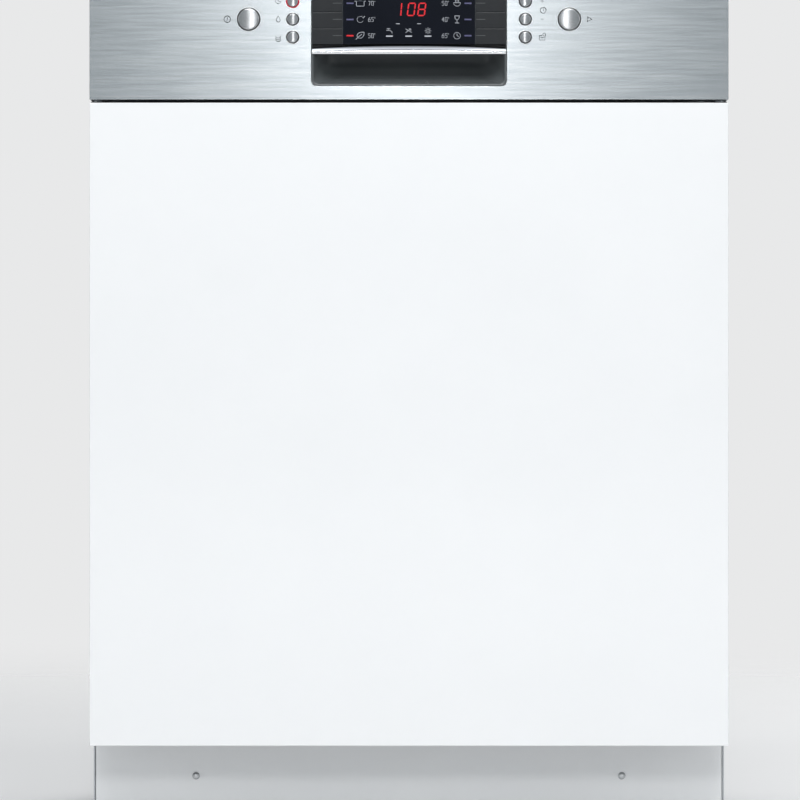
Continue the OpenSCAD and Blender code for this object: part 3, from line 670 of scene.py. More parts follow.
def make_display():
    """Dark window with a red readout, lamps, plain pictograms and temperatures."""
    dress("display_window", "glass", 0.3)
    depth = GLASS_LOW.y
    readout = Shape()
    mid = GLASS_HIGH.z - 12.5
    one = [[(-7.6, mid - 5.2), (-7.3, mid - 0.9)], [(-7.1, mid + 0.9), (-6.8, mid + 5.2)]]
    strokes(readout, one, 1.2, depth)
    segment_digit(readout, "0", 2.2, mid, depth)
    segment_digit(readout, "8", 11.9, mid, depth)
    readout.piece("readout_digits", "door", "display_glass", "red")
    rows = [centre(f"program_key_left_{i}").z + 0.6 for i in (1, 2, 3)]
    lamps, lit = Shape(), Shape()
    for i, z in enumerate(rows):
        for side in SIDES:
            x = side * (GLASS_HIGH.x - 6.9)
            strokes(lit if i == 2 and side < 0 else lamps, [[(x - 2.6, z), (x + 2.6, z)]], 1.35, depth)
    lamps.piece("program_lamps", "door", "display_glass", "lilac")
    lit.piece("program_lamp_lit", "door", "display_glass", "red")
    signs = Shape()
    for x, shift, column in ((-45.5, 7.6, (("pot", "70"), ("again", "65"), ("leaf", "50"))),
                             (44.8, -14.0, (("bowl", "50"), ("glass", "40"), ("clock", "65")))):
        for z, (name, number) in zip(rows, column):
            strokes(signs, sign_at(name, x, z), 0.42, depth)
            strokes(signs, small_number(number, x + shift, z), 0.32, depth)
    base = GLASS_LOW.z + 7.4
    for name, x in (("tap", -18.3), ("arrows", -0.3), ("star", 17.7)):
        strokes(signs, sign_at(name, x, base), 0.42, depth)
        strokes(signs, [[(x - 2.6, base), (x + 2.6, base)]], 1.1, depth)
    for x in (-10.4, 9.3):
        strokes(signs, [[(x - 1.5, base + 11.6), (x + 1.5, base + 11.6)]], 0.5, depth)
    signs.piece("display_signs", "door", "display_glass", "sign")


def button_cap(mid, front, radius, sag=0.55, depth=4.3):
    """Round cap whose face curves from side to side only, with a rolled edge, down to depth."""
    rings = []
    for share in (0.002, 0.2, 0.4, 0.58, 0.72, 0.83, 0.90, 0.94, 0.97, 0.99, 1.0):
        roll = 0.0 if share < 0.9 else 0.5 * (1 - math.sqrt(max(0, 1 - ((share - 0.9) / 0.1) ** 2)))
        points = [polar(radius * share, a) for a in turns(72)]
        rings.append([(mid.x + x, front + sag * (x / radius) ** 2 + roll, mid.z + z) for x, z in points])
    rings.append([(x, front + depth, z) for x, z in (polar(radius, a, mid.x, mid.z) for a in turns(72))])
    return Shape().loft(rings)


def make_buttons():
    """Silver caps over dark collars and stems, each in a rimmed hole, and the lit ring of one option. Collars
    and wells are black so that the gap round each cap reads dark: painted shade.
    """
    nodes = ["power_button", "start_button"]
    nodes += [f"option_button_{side}_{i}" for side in ("left", "right") for i in (1, 2, 3)]
    for node in nodes:
        low, high = span(node)
        mid = (low + high) / 2
        radius = (high.x - low.x) / 2 - COLLAR
        hole = radius + 1.0
        button_cap(mid, low.y, radius).piece(node + "_cap", node, "button_silver", "knob", [node], smooth=50)
        # black collar: painted shade for the gap round the cap
        stem = [(4.2, radius - 0.1), (4.2, radius + 1.8), (6.1, radius + 1.8), (6.1, radius - 0.4),
                (7.7, radius - 0.4), (7.7, 2.3), (high.y - low.y, 2.3)]
        stem = Shape().lathe(stem, (mid.x, low.y, mid.z), BACK, 56)
        stem.piece(node + "_stem", node, "button_silver", "black", smooth=40)
        origin = (mid.x, FACE, mid.z)
        bezel = [(-0.06, hole - 0.04), (-0.15, hole + 0.12), (-0.06, hole + 0.34), (0.04, hole + 0.36),
                 (0.9, hole - 0.04)]
        bezel = Shape().ring(bezel, origin, BACK, 72)
        bezel.piece(node + "_bezel", "door", "button_silver", "silver", smooth=60)
        # black wall of the hole: painted shade in the gap round the cap
        well = [(0.9, hole - 0.06), (0.9, hole + 0.2), (2.2, hole + 0.2), (2.2, hole - 0.06)]
        well = Shape().ring(well, origin, BACK, 56)
        well.piece(node + "_well", "door", "key_grey", "black", smooth=40)
        if node == "option_button_left_1":
            lamp = [(0.5, radius + 0.28), (-0.3, radius + 0.3), (-0.55, radius + 0.75), (-0.3, radius + 1.25),
                    (0.4, radius + 1.3)]
            lamp = Shape().ring(lamp, origin, BACK, 72)
            lamp.piece("option_ring_lit", "door", "button_silver", "crimson", smooth=60)


def make_print():
    """Plain marks beside the buttons: power, options, delay, care and start."""
    def row(side, i):
        return centre(f"option_button_{side}_{i}").z

    shape = Shape()
    power, start = centre("power_button"), centre("start_button")
    strokes(shape, sign_at("power", power.x - 20.0, power.z), 0.55, FACE)
    left = centre("option_button_left_1").x - 13.5
    right = centre("option_button_right_1").x + 15.6
    between = (row("right", 1) + row("right", 2)) / 2
    for name, x, z in (("delay", left, row("left", 1)), ("drop", left, row("left", 2)),
                       ("plates", left, row("left", 3)), ("plus", right, row("right", 1)),
                       ("timer", right, between), ("minus", right, row("right", 2)),
                       ("basket", right, row("right", 3)), ("start", start.x + 18.5, start.z)):
        strokes(shape, sign_at(name, x, z), 0.46, FACE)
    shape.piece("fascia_print", "door", "key_grey", "print")


# ---------------------------------------------------------------- small parts used everywhere

def screw_heads(places, axis, size=3.4, shape=None):
    """Pan heads with a six-sided socket. Axis points out of the surface."""
    shape = shape or Shape()
    profile = [(-0.4, 0.05), (-0.4, size), (0.4, size), (1.0, size * 0.9), (1.5, size * 0.62),
               (1.6, size * 0.45), (0.5, size * 0.42), (0.45, 0.05)]
    for place in places:
        shape.lathe(profile, place, axis, 18)
    return shape


def thread_profile(start, end, pitch, outer, depth):
    """Saw-tooth profile of a thread, as rings along an axis."""
    root = outer - depth
    points = [(start, root)]
    for k in range(int((end - start) / pitch)):
        a = start + k * pitch
        points += [(a + pitch * 0.28, root), (a + pitch * 0.5, outer), (a + pitch * 0.64, outer),
                   (a + pitch * 0.86, root)]
    return points + [(end, root)]


def pressed(place, sink, radius, loops=(), lines=(), shape=None):
    """Beads pressed in a sheet: tubes sunk by their own depth less the relief.

    Loops are (a0, a1, b0, b1, corner radius). Lines join two (a, b) points and taper at both ends.
    """
    shape = shape or Shape()
    for *sides, corner in loops:
        shape.tube([place(a, b, sink) for a, b in round_box(*sides, corner, 8)], radius, 12, closed=True)
    for line in lines:
        start, end = (Vector(place(a, b, sink)) for a, b in line)
        length = (end - start).length
        taper = [(0, 0.1), (radius * 0.6, radius * 0.55), (radius * 1.6, radius * 0.9), (radius * 3, radius)]
        shape.lathe(taper + [(length - a, r) for a, r in reversed(taper)], start, end - start, 16)
    return shape


# ---------------------------------------------------------------- cabinet

SEAL_LOW, SEAL_HIGH = span("tub_seal")
SIDE_FACE = span("side_panel_right")[1].x
COVER_TOP = span("top_cover")[1].z
BACK_FACE = span("back_panel")[1].y
WALL = 270.0                              # inner face of the tub's side walls
TUB_BACK = 260.0                          # inner face of its back
FLOOR = 130.0
CEILING = 780.0
TUB_SINK = 2.6                            # how deep the middle of a bead lies in the tub's walls
SHEET_SINK = 2.4                          # and in the outer sheets
RAIL_Z = 601                              # height of the upper rails
DUCT_Z = 490                              # height of the duct under the upper rack
INLET_X, DRAIN_X, PORT_Z = -200, -140, 62     # water connections at the back of the base
HUB = joint_axis("lower_spray_spin")


def make_tub():
    dress("tub", "tub", 0.35)
    beads = Shape()
    for side in SIDES:
        pressed(yz, side * (WALL + TUB_SINK), 4, [(-150, 222, 214, 330, 22), (-150, 222, 356, 560, 22),
                                             (-150, 222, 640, 742, 22)],
                [((-100, z), (176, z)) for z in (442, 474)], beads)
    pressed(xz, TUB_BACK + TUB_SINK, 4, [(x, x + 190, z0, z1, 24) for z0, z1 in ((180, 420), (540, 742))
                                    for x in (-236, 46)], (), beads)
    pressed(xy, CEILING + TUB_SINK, 4, [(-205, 205, -168, 236, 36)],
            [((x, -120), (x, 190)) for x in (-150, 150)], beads)
    beads.piece("tub_pressed_beads", "cabinet", *TUB_STEEL, smooth=60)
    # pressed ring where the filter sits, and one round the salt well
    sump, cap = centre("micro_filter"), centre("salt_cap")
    radius = (span("micro_filter")[1].x - span("micro_filter")[0].x) / 2
    ring = Shape().ring([(0, radius + 1.5), (1.0, radius + 2.4), (1.2, radius + 5), (0.7, radius + 8),
                         (-0.5, radius + 10)], (sump.x, sump.y, FLOOR - 0.2), UP, 96)
    ring.ring([(0, 37.2), (0.7, 38.4), (0.7, 42), (-0.3, 45)], (cap.x, cap.y, FLOOR - 0.2), UP, 72)
    ring.piece("tub_floor_rings", "cabinet", *TUB_STEEL, smooth=50)
    # rolled edge of the front flange
    path = [(x, -214.2, z) for x, z in ((-296.2, 134), (-296.2, 806.6), (296.2, 806.6), (296.2, 134))]
    Shape().tube(fillet(path, 5), 0.9, 10).piece("tub_flange_edge", "cabinet", *TUB_STEEL, smooth=60)
    screws = screw_heads([(side * 290.5, -213.5, z) for side in SIDES for z in (240, 420, 600, 760)],
                         FRONT, 3)
    screws.piece("flange_screws", "cabinet", *STEEL, smooth=40)


def make_seal():
    x = (SEAL_HIGH.x + WALL + 3) / 2
    y = (SEAL_LOW.y + SEAL_HIGH.y) / 2
    top = SEAL_HIGH.z - 5.4

    def line(y, inset):
        corners = ((-x + inset, SEAL_LOW.z), (-x + inset, top - inset), (x - inset, top - inset),
                   (x - inset, SEAL_LOW.z))
        return fillet([(a, y, b) for a, b in corners], 26, 10)

    bulb = Shape().tube(line(y, 0), 5.1, 16, squash=0.74, up=BACK)
    for inset in (-2.0, 2.0):
        bulb.tube(line(y - 3.2, inset), 0.8, 8)
    bulb.piece("seal_bulb", "cabinet", *RUBBER, ["tub_seal"], smooth=60)


def make_outer_shell():
    for side, sign in (("left", -1), ("right", 1)):
        dress(f"side_panel_{side}", "zinc", 0.3)
        lines = [((-120, z), (198, z)) for z in spread(540, 702, 4) + spread(206, 384, 4)]
        beads = pressed(yz, sign * (SIDE_FACE - SHEET_SINK), 3.4,
                        [(-168, 246, 480, 762, 26), (-168, 246, 150, 440, 26)],
                        lines + [((-180, 72), (260, 72))])
        beads.piece(f"side_beads_{side}", "cabinet", *ZINC, smooth=60)
        places = [(y, z) for y in (-200, 272) for z in (110, 460, 796)] + [(30, 44)]
        screws = screw_heads([(sign * SIDE_FACE, y, z) for y, z in places], sign * RIGHT)
        screws.piece(f"side_screws_{side}", "cabinet", *STEEL, smooth=40)
        # folded front edge
        edges = sorted((sign * (SIDE_FACE - 7), sign * (SIDE_FACE - 1.6)))
        Shape().box(*edges, -211.6, -210.4, 110, 806).piece(f"side_fold_{side}", "cabinet", *ZINC, bevel=0.3)
    dress("back_panel", "zinc", 0.3)
    beads = pressed(xz, BACK_FACE - SHEET_SINK, 3.4, [(-262, 262, 470, 778, 30), (-262, 262, 186, 440, 30)],
                    [((x, z0), (x, z1)) for x in spread(-190, 190, 5) for z0, z1 in ((500, 748), (214, 412))])
    beads.piece("back_beads", "cabinet", *ZINC, smooth=60)
    places = [(x, z) for x in (-284, 284) for z in (130, 340, 550, 790)] + [(-140, 798), (140, 798)]
    screws = screw_heads([(x, BACK_FACE, z) for x, z in places], BACK)
    screws.piece("back_screws", "cabinet", *STEEL, smooth=40)
    clips = Shape()
    for z in (300, 640):
        path = [(x, y, z) for x, y in ((-232, 286), (-232, 294), (-212, 294), (-212, 286))]
        clips.tube(fillet(path, 6), 1.6, 10)
    clips.piece("hose_clips", "cabinet", *STEEL, smooth=60)
    dress("top_cover", "pale", 0.8)
    ridges = pressed(xy, COVER_TOP - 2.2, 3.2, [(-268, 268, -150, 258, 30)],
                     [((x, -120), (x, 228)) for x in spread(-200, 200, 6)])
    ridges.piece("cover_ribs", "cabinet", *PALE, smooth=60)
    # metal shoes for the worktop screws
    shoes = Shape()
    for x in (-240, 240):
        shoes.ring([(-0.4, 2.9), (0.6, 2.9), (0.6, 8.6), (-0.4, 9.0)], (x, -195, COVER_TOP), UP, 32)
    shoes.piece("worktop_shoes", "cabinet", *STEEL, smooth=40)


def make_kick_plate():
    dress("kick_plate", "enamel", 0.4)
    low, high = span("kick_plate")
    lip = Shape().box(low.x + 0.4, high.x - 0.4, low.y, low.y + 9, low.z - 0.4, low.z + 1.0)
    lip.piece("kick_fold", "cabinet", "white_metal", "enamel", bevel=0.4)
    screws = screw_heads([(x, low.y, 60) for x in (-202, 202)], FRONT, 3.6)
    screws.piece("kick_screws", "cabinet", *STEEL, smooth=40)


def make_base():
    dress("base_tray", "black", 0.6)
    low, high = span("base_tray")
    ribs = Shape()
    for x in spread(-270, 270, 10):
        if min(abs(x - INLET_X), abs(x - DRAIN_X)) > 26:
            ribs.box(x - 1, x + 1, high.y - 0.4, high.y + 3, low.z + 4, high.z - 3)
    for z in (low.z + 4, high.z - 4):
        ribs.box(-286, 286, high.y - 0.4, high.y + 3, z - 1, z + 1)
    for x in (INLET_X, DRAIN_X):
        ribs.ring([(0, 20.5), (3.5, 20.5), (3.5, 23), (0, 23)], (x, high.y - 0.5, PORT_Z), BACK)
    ribs.piece("base_ribs", "cabinet", *BLACK, bevel=0.4)
    pad = [(0, 19), (0.8, 21.4), (2.2, 22), (5.6, 22), (6.6, 21.2), (7.2, 19), (7.6, 14), (15, 12.6),
           (15, 6.2)]
    for node in ("foot_front_left", "foot_front_right", "foot_rear"):
        mid = centre(node)
        profile = pad + thread_profile(15, 91, 3, 5.98, 0.9) + [(92, 4.2)]
        foot = Shape().lathe(profile, (mid.x, mid.y, 0), UP, 40)
        foot.prism([polar(12.6, a, mid.x, mid.y) for a in turns(6)], xy, 7, 14.6)
        foot.piece(node + "_turned", node, *BLACK, [node], smooth=34)


# ---------------------------------------------------------------- water

def make_filters():
    dress("sump", "grey", 0.8)
    # micro filter: perforated disc with pressed ribs and a rolled rim
    dress("micro_filter", "mesh", 0.0)
    low, high = span("micro_filter")
    mid = centre("micro_filter")
    cup = centre("filter_cartridge")
    radius = (high.x - low.x) / 2
    trim = Shape().ring([(-0.6, radius - 4), (0.6, radius - 3.6), (1.0, radius - 2), (0.8, radius - 0.4),
                         (-0.8, radius - 0.2)], (mid.x, mid.y, high.z), UP, 96)
    for a in turns(10, 10):
        start, end = (polar(r, a, mid.x, mid.y) for r in (58, radius - 8))
        if math.dist(start, (cup.x, cup.y)) >= 52:
            trim.tube([(*start, high.z), (*end, high.z)], 1.1, 10)
    trim.piece("micro_filter_trim", "cabinet", *TUB_STEEL, smooth=50)
    # cartridge
    origin = (cup.x, cup.y, 0)
    mesh = Shape().ring([(76, 34.2), (126, 34.2), (126, 35.0), (76, 35.0)], origin, UP, 64)
    mesh.piece("cartridge_mesh", "filter_cartridge", "grey_plastic", "fine_mesh", ["filter_cartridge"],
               smooth=50)
    body = Shape()
    for z in (72, 98, 124):
        body.ring([(z, 33.4), (z + 4, 33.4), (z + 4, 36), (z, 36)], origin, UP, 64)
    body.ring([(127, 33.2), (133, 33.2), (134, 34.2), (134, 38.6), (132.6, 40), (127.4, 40)], origin, UP, 72)
    body.lathe([(72, 33.8), (75, 33.8)], origin, UP, 64)
    for a in turns(8, 22.5):
        spot = polar(34.6, a, cup.x, cup.y)
        body.tube([(*spot, 74), (*spot, 128)], 1.6, 10)
    bar = [(-33, 117), (33, 117), (33, 129), (24, 138), (13, 143.4), (-13, 143.4), (-24, 138), (-33, 129)]
    body.prism([(cup.x + a, b) for a, b in bar], xz, cup.y - 3.6, cup.y + 3.6)
    for side in SIDES:
        for x in spread(cup.x - 12, cup.x + 12, 4):
            body.tube([(x, cup.y + side * 3.7, z) for z in (122, 139)], 0.9, 8)
    body.piece("cartridge_body", "filter_cartridge", *GREY, bevel=0.5, smooth=34)


def make_pumps():
    y, z = 153, 70
    pump = Shape().lathe([(-10, 20), (-9, 36), (-4, 42), (2, 44), (20, 44), (24, 41), (27, 44), (44, 44),
                          (48, 40), (58, 38), (62, 30)], (0, y, z), RIGHT, 56)
    pump.tube(fillet([(25, 107.5, 66), (25, 150, 66)], 4), 18, 28)
    pump.tube(fillet([(0, 153, 92), (0, 176, 106), (0, 199.5, 106)], 16, 8), 7, 20)
    screw_heads([(-8, *polar(33, a, y, z)) for a in turns(6)], -RIGHT, 2.6, pump)
    pump.piece("pump_volute", "cabinet", *PALE, ["circulation_pump"], smooth=40)
    fins = [(64 + 3 * k + d, 36 - 1.6 * (k % 2)) for k in range(18) for d in (0, 2.4)]
    shaft = [(118, 35), (122, 30), (124, 14), (124, 12), (141, 12), (142, 11)]
    motor = Shape().lathe([(60, 33), (62, 35)] + fins + shaft, (0, y, z), RIGHT, 56)
    motor.piece("pump_motor", "cabinet", *STEEL, smooth=34)
    y, z = 25, 76
    drain = Shape().lathe([(127.8, 24), (129, 26), (150, 26), (154, 24), (172, 26), (176, 24), (177, 20),
                           (206, 20), (212, 18), (216, 12)], (0, y, z), RIGHT)
    screw_heads([(176, *polar(22, a, y, z)) for a in turns(4, 45)], RIGHT, 2.2, drain)
    drain.piece("drain_pump_body", "cabinet", *BLACK, ["drain_pump"], smooth=40)


def make_softener():
    dress("softener", "pale", 2.5)
    ribs = Shape()
    for x in spread(-244, -123, 6):
        for y in (-62.4, 69.6):
            ribs.box(x - 1.2, x + 1.2, y, y + 2.8, 34, 108)
    ribs.piece("softener_ribs", "cabinet", *PALE, bevel=0.4)
    # salt cap with a knurled edge
    mid = centre("salt_cap")
    outline = [polar(36.9 if k % 4 < 2 else 35.9, a, mid.x, mid.y) for k, a in enumerate(turns(120))]
    cap = Shape().prism(outline, xy, 131.4, 137)
    cap.lathe([(136.6, 36.2), (138.2, 35.2), (139, 33), (138.4, 26), (138.2, 0.2)], (mid.x, mid.y, 0), UP, 64)
    grip = [(-24, 137), (24, 137), (23, 143), (19, 146), (-19, 146), (-23, 143)]
    cap.prism([(mid.x + a, b) for a, b in grip], xz, mid.y - 3.8, mid.y + 3.8)
    cap.piece("salt_cap_moulded", "salt_cap", *PALE, ["salt_cap"], bevel=0.35, smooth=34)
    mark = Shape()
    for side in SIDES:
        arrow = [(mid.x + side * a, mid.y + b) for a, b in ((28, -2.4), (32, 0), (28, 2.4))]
        mark.prism(arrow, xy, 138.2, 138.8)
    mark.piece("salt_cap_marks", "salt_cap", *PALE_GREY)


def make_connections():
    """Water inlet with its thread and valve, and the barbed drain spigot."""
    profile = ([(246, 12), (246, 16), (247, 17), (263, 17), (264, 16), (264, 12.2)]
               + thread_profile(265, 284.6, 1.8, 13.2, 1.1)
               + [(286.4, 11.4), (286.4, 9.4), (268, 9.2), (268, 0.2)])
    water = Shape().lathe(profile, (INLET_X, 0, PORT_Z), BACK)
    water.prism([polar(18.6, a, INLET_X, PORT_Z) for a in turns(6)], xz, 251, 259)
    water.piece("inlet_thread", "cabinet", *PALE, ["water_connections"], smooth=34)
    valve = Shape().box(-214, -186, 195, 246, 46, 80)
    valve.lathe([(80, 11), (92, 11), (93, 10)], (INLET_X, 214, 0), UP, 32)
    valve.piece("inlet_valve", "cabinet", "light_plastic", "black", bevel=1.2)
    barbs = [(y + 6 * k, r) for k in range(5)
             for y, r in ((254, 8.6), (258.4, 9.5), (259, 9.5), (259.2, 8.6))]
    profile = ([(200, 12.4), (201, 13), (251, 13), (252, 12), (252, 8.6)] + barbs
               + [(285, 8.4), (286.4, 7.8), (286.4, 6.4), (262, 6.4), (262, 0.2)])
    spigot = Shape().lathe(profile, (DRAIN_X, 0, PORT_Z), BACK, 40)
    spigot.piece("drain_spigot_barbs", "cabinet", *PALE_GREY, smooth=34)


def make_feed():
    """Rising pipe, ceiling arm and sprinkler."""
    path = [(0, 200, 106), (0, 248, 106), (0, 250, 130), (0, 250, 765), (0, 36, 765)]
    pipe = Shape().tube(fillet(path, 26, 10), 8.6, 24)
    for z in (150, 320, 452, 700):
        pipe.lathe([(z, 9.0), (z + 1, 10.4), (z + 11, 10.4), (z + 12, 9.0)], (0, 250, 0), UP, 32)
    pipe.tube([(0, 249, DUCT_Z), (0, 238.4, DUCT_Z)], 7, 24)
    pipe.ring([(0, 6.2), (0, 8.8), (3, 9.4), (5, 8.4), (5, 6.2)], (0, 238.4, DUCT_Z), BACK, 36)
    for z in (576, 728):
        pipe.box(-14, 14, 254, 259.8, z, z + 14)
    pipe.piece("feed_pipe_moulded", "cabinet", *GREY, ["feed_pipe"], smooth=45)
    head = Shape().lathe([(768, 8), (766, 21), (762, 22), (756, 22), (751, 20), (749, 16), (748.2, 8),
                          (748, 0.2)],
                         (HUB.x, HUB.y, 0), UP)
    for a in turns(12):
        head.lathe([(0, 1.9), (-0.9, 1.6), (-0.9, 0.8), (0.2, 0.7), (0.2, 0.05)],
                   (*polar(13, a, HUB.x, HUB.y), 748.8), UP, 14)
    head.piece("ceiling_sprinkler", "cabinet", *GREY, smooth=40)


def signed_power(value, power):
    return math.copysign(abs(value) ** power, value)


def make_spray_arm(node, low, high, length, wide, tip, first, step, hub):
    """Winged arm: rounded sections that narrow and lean towards both ends, with raised nozzles on top."""
    mid = (low + high) / 2
    ends = [length + tip * math.sin(math.radians(a)) for a in (88, 70, 50, 30, 12)]
    rings = []
    for x in [-e for e in ends] + spread(-length, length, 33) + ends[::-1]:
        beyond = max(0.0, abs(x) - length)
        half = wide + (tip - wide) * min(abs(x), length) / length
        tall = (high - low) / 2
        if beyond:
            half = math.sqrt(max(tip ** 2 - beyond ** 2, 0.4))
            tall *= 0.45 + 0.55 * half / tip
        lean = 0.16 * (1 if x > 0 else -1) * min(1, abs(x) / 60)
        ring = []
        for c, s in (polar(1, a) for a in turns(28)):
            y, z = half * signed_power(c, 0.75), tall * signed_power(s, 0.62)
            ring.append((HUB.x + x, HUB.y + y, mid + z * (1 - 0.25 * abs(c)) + lean * y * 0.4))
        rings.append(ring)
    Shape().loft(rings).piece(node + "_wing", node, *GREY, [node], smooth=60)
    nozzles = Shape()
    profile = [(1.9, 0.05), (1.9, 1.3), (3.4, 1.5), (3.3, 2.5), (2.6, 3.8), (0.5, 4.6), (-0.8, 4.6)]
    for s in SIDES:
        for i in range(1, 6):
            nozzles.lathe(profile, (HUB.x + s * (first + step * i), HUB.y + s * 5, high - 2.6), UP, 20)
        nozzles.tube([(HUB.x + s * 26, HUB.y - s * 9, high - 0.6),
                      (HUB.x + s * (length - 6), HUB.y - s * 7.4, high - 0.7)], 1.0, 8)
    nozzles.piece(node + "_nozzles", node, "grey_plastic", "black", smooth=40)
    hub.piece(node + "_hub", node, *GREY, smooth=40)


def make_spray_arms():
    lower = Shape().lathe([(147, 8.4), (147, 17), (149, 20), (165, 20), (168, 17.6), (170, 13), (171.6, 10),
                           (172, 6), (172, 0.3)], (HUB.x, HUB.y, 0), UP)
    for a in turns(6):
        lower.tube([(*polar(r, a, HUB.x, HUB.y), z) for r, z in ((12, 170), (19, 165.6))], 1.1, 8)
    upper = Shape().lathe([(452, 0.3), (452, 12), (453.4, 16), (457, 17), (466, 17), (468.6, 15),
                           (477.4, 12.4), (478, 11.4), (478, 8.4)], (HUB.x, HUB.y, 0), UP)
    make_spray_arm("lower_spray_arm", 152, 166, 194, 26, 15, 32, 31, lower)
    make_spray_arm("upper_spray_arm", 456, 468, 190, 24, 14, 30, 30, upper)


# ---------------------------------------------------------------- hinges and rails

def make_hinge_side():
    for node, bevel in {"hinge_brackets": 0.4, "upper_guides": 0.3, "latch_strike": 0.4,
                        "upper_rails": 0.3}.items():
        dress(node, "part", bevel)
    rivets = Shape()
    for side in SIDES:
        inwards = -side * RIGHT
        screw_heads([(side * 293.4, y, z) for y in (-190, -140) for z in (62, 106)], inwards, 3, rivets)
        screw_heads([(side * 266.6, y, RAIL_Z) for y in (-180, -20, 150)], inwards, 2.4, rivets)
        rivets.ring([(0, 4.02), (0, 6.4), (3.6, 6.4), (3.6, 4.02)], (side * 288.6, -237, 115), -inwards, 28)
    rivets.piece("hinge_rivets", "cabinet", *STEEL, smooth=40)
    # end stops of the rails
    low, high = span("upper_rails")
    stops = Shape()
    for side in SIDES:
        for y in (low.y, high.y - 9):
            stops.box(*sorted((side * 251.6, side * 264)), y, y + 9, 592.6, 609.4)
    stops.piece("rail_stops", "upper_rails", *GREY, bevel=1.0)
    # coil springs with straight hooks
    low, high = span("door_springs")
    z = centre("door_springs").z
    start, end, y0 = low.y + 44.3, low.y + 170.3, low.y + 0.3
    turns_made, steps = 34, 34 * 12
    coils = Shape()
    for side in SIDES:
        x = side * (high.x - 6.5)
        points = [(x, y0, z), (x, y0 + 40, z)]
        for k in range(steps + 1):
            r = 5.3 * min(1, k / 10, (steps - k) / 10 + 0.02)
            a, b = polar(r, 360 * turns_made * k / steps, z, x)
            points.append((b, start + (end - start) * k / steps, a))
        coils.tube(points + [(x, end + 3, z), (x, high.y - 0.3, z)], 1.15, 7)
    coils.piece("spring_coils", "cabinet", *STEEL, ["door_springs"], smooth=60)


# ---------------------------------------------------------------- racks

# half width, front, back, and heights of the floor and the rim, as in the CAD
Rack = namedtuple("Rack", "node half front back floor rim")
LOWER = Rack("lower_rack", 250, -200, 234, 188, 300)
UPPER = Rack("upper_rack", 240, -200, 232, 507, 620)
WIRE = 2.0
TINE_FOOT = 8                             # height of the tines' base wires over the floor
AXLE_Z = 147.5                            # height of the wheels' axles


def wire_cage(rack, mids):
    """Bent wires: hoops over the floor both ways, a rounded rim, and level wires on the walls."""
    shape = Shape()
    inset = 24
    top, low, crossing = rack.rim - 1, rack.floor, rack.floor + 3.8
    for y in spread(rack.front + inset, rack.back - inset, 17):
        path = [(-rack.half, y, top), (-rack.half, y, low), (rack.half, y, low), (rack.half, y, top)]
        shape.tube(fillet(path, 15, 5), WIRE)
    for x in spread(-rack.half + inset, rack.half - inset, 17):
        path = [(x, rack.front, top), (x, rack.front, crossing), (x, rack.back, crossing),
                (x, rack.back, top)]
        shape.tube(fillet(path, 15, 5), WIRE)
    rows = [(rack.rim, 0, 22, 8, 3, 12)] + [(z, 3.6, 20, 6, WIRE, 8) for z in mids]
    for z, drop, corner, steps, radius, sides in rows:
        loop = round_box(-rack.half + drop, rack.half - drop, rack.front + drop, rack.back - drop, corner,
                         steps)
        shape.tube([(a, b, z) for a, b in loop], radius, sides, closed=True)
    return shape


def tines(shape, y, base, xs, height):
    """Upright tines with rounded tips on a base wire that runs past the first and the last."""
    shape.tube([(xs[0] - 6, y, base), (xs[-1] + 6, y, base)], WIRE)
    profile = [(0, WIRE), (height - 2.2, WIRE), (height - 0.9, 1.6), (height - 0.1, 0.7)]
    for x in xs:
        shape.lathe(profile, (x, y, base), UP, 10)


def make_lower_rack():
    shape = wire_cage(LOWER, (236, 268))
    for y in (-140, -50, 140):
        tines(shape, y, LOWER.floor + TINE_FOOT, spread(-222, 128, 10), 86)
    shape.piece("lower_rack_wires", "lower_rack", *COAT, ["lower_rack"], smooth=60)
    brackets = Shape()
    for side in SIDES:
        for y in (joint_axis("front_wheel_roll").y, joint_axis("rear_wheel_roll").y):
            outline = ([(y - 13, 186), (y - 9, 150)] + arc(y, AXLE_Z, 9.5, 190, 350, 8)
                       + [(y + 9, 150), (y + 13, 186)])
            brackets.prism(outline, yz, *sorted((side * 240.2, side * 249)))
            brackets.lathe([(248.6, 4), (264.4, 4), (265.2, 3.2)], (0, y, AXLE_Z), side * RIGHT, 24)
            brackets.lathe([(248.6, 7.6), (250.2, 7.0), (250.2, 4.2)], (0, y, AXLE_Z), side * RIGHT, 28)
            for dy in (-9, 9):
                brackets.lathe([(-4, 3.4), (4, 3.4)], (side * 245, y + dy, 188), RIGHT, 16)
    brackets.piece("wheel_brackets", "lower_rack", *GREY, bevel=0.6, smooth=36)
    make_handle("lower_rack_handle", LOWER)
    # clips that hold the folding row
    clips = Shape()
    axis = joint_axis("tine_fold")
    for x in (-196.7, -42, 112.7):
        for y, half, z0, z1, corner in ((0, 5.4, 1.6, 5.6, 1.4), (-4.4, 1.2, 3, 13, 1), (4.4, 1.2, 3, 13, 1)):
            outline = round_box(axis.y + y - half, axis.y + y + half, LOWER.floor + z0, LOWER.floor + z1,
                                corner, 3)
            clips.prism(outline, yz, x - 4, x + 4)
    clips.piece("tine_clips", "lower_rack", *GREY, bevel=0.3)
    low, high = span("folding_tines")
    fold = Shape()
    tines(fold, axis.y, axis.z, spread(low.x + 8, high.x - 6, 10), 86)
    fold.tube([(low.x + 8, axis.y, axis.z + 40), (high.x - 6, axis.y, axis.z + 40)], 1.4)
    fold.piece("folding_tine_row", "folding_tines", *COAT, ["folding_tines"], smooth=60)


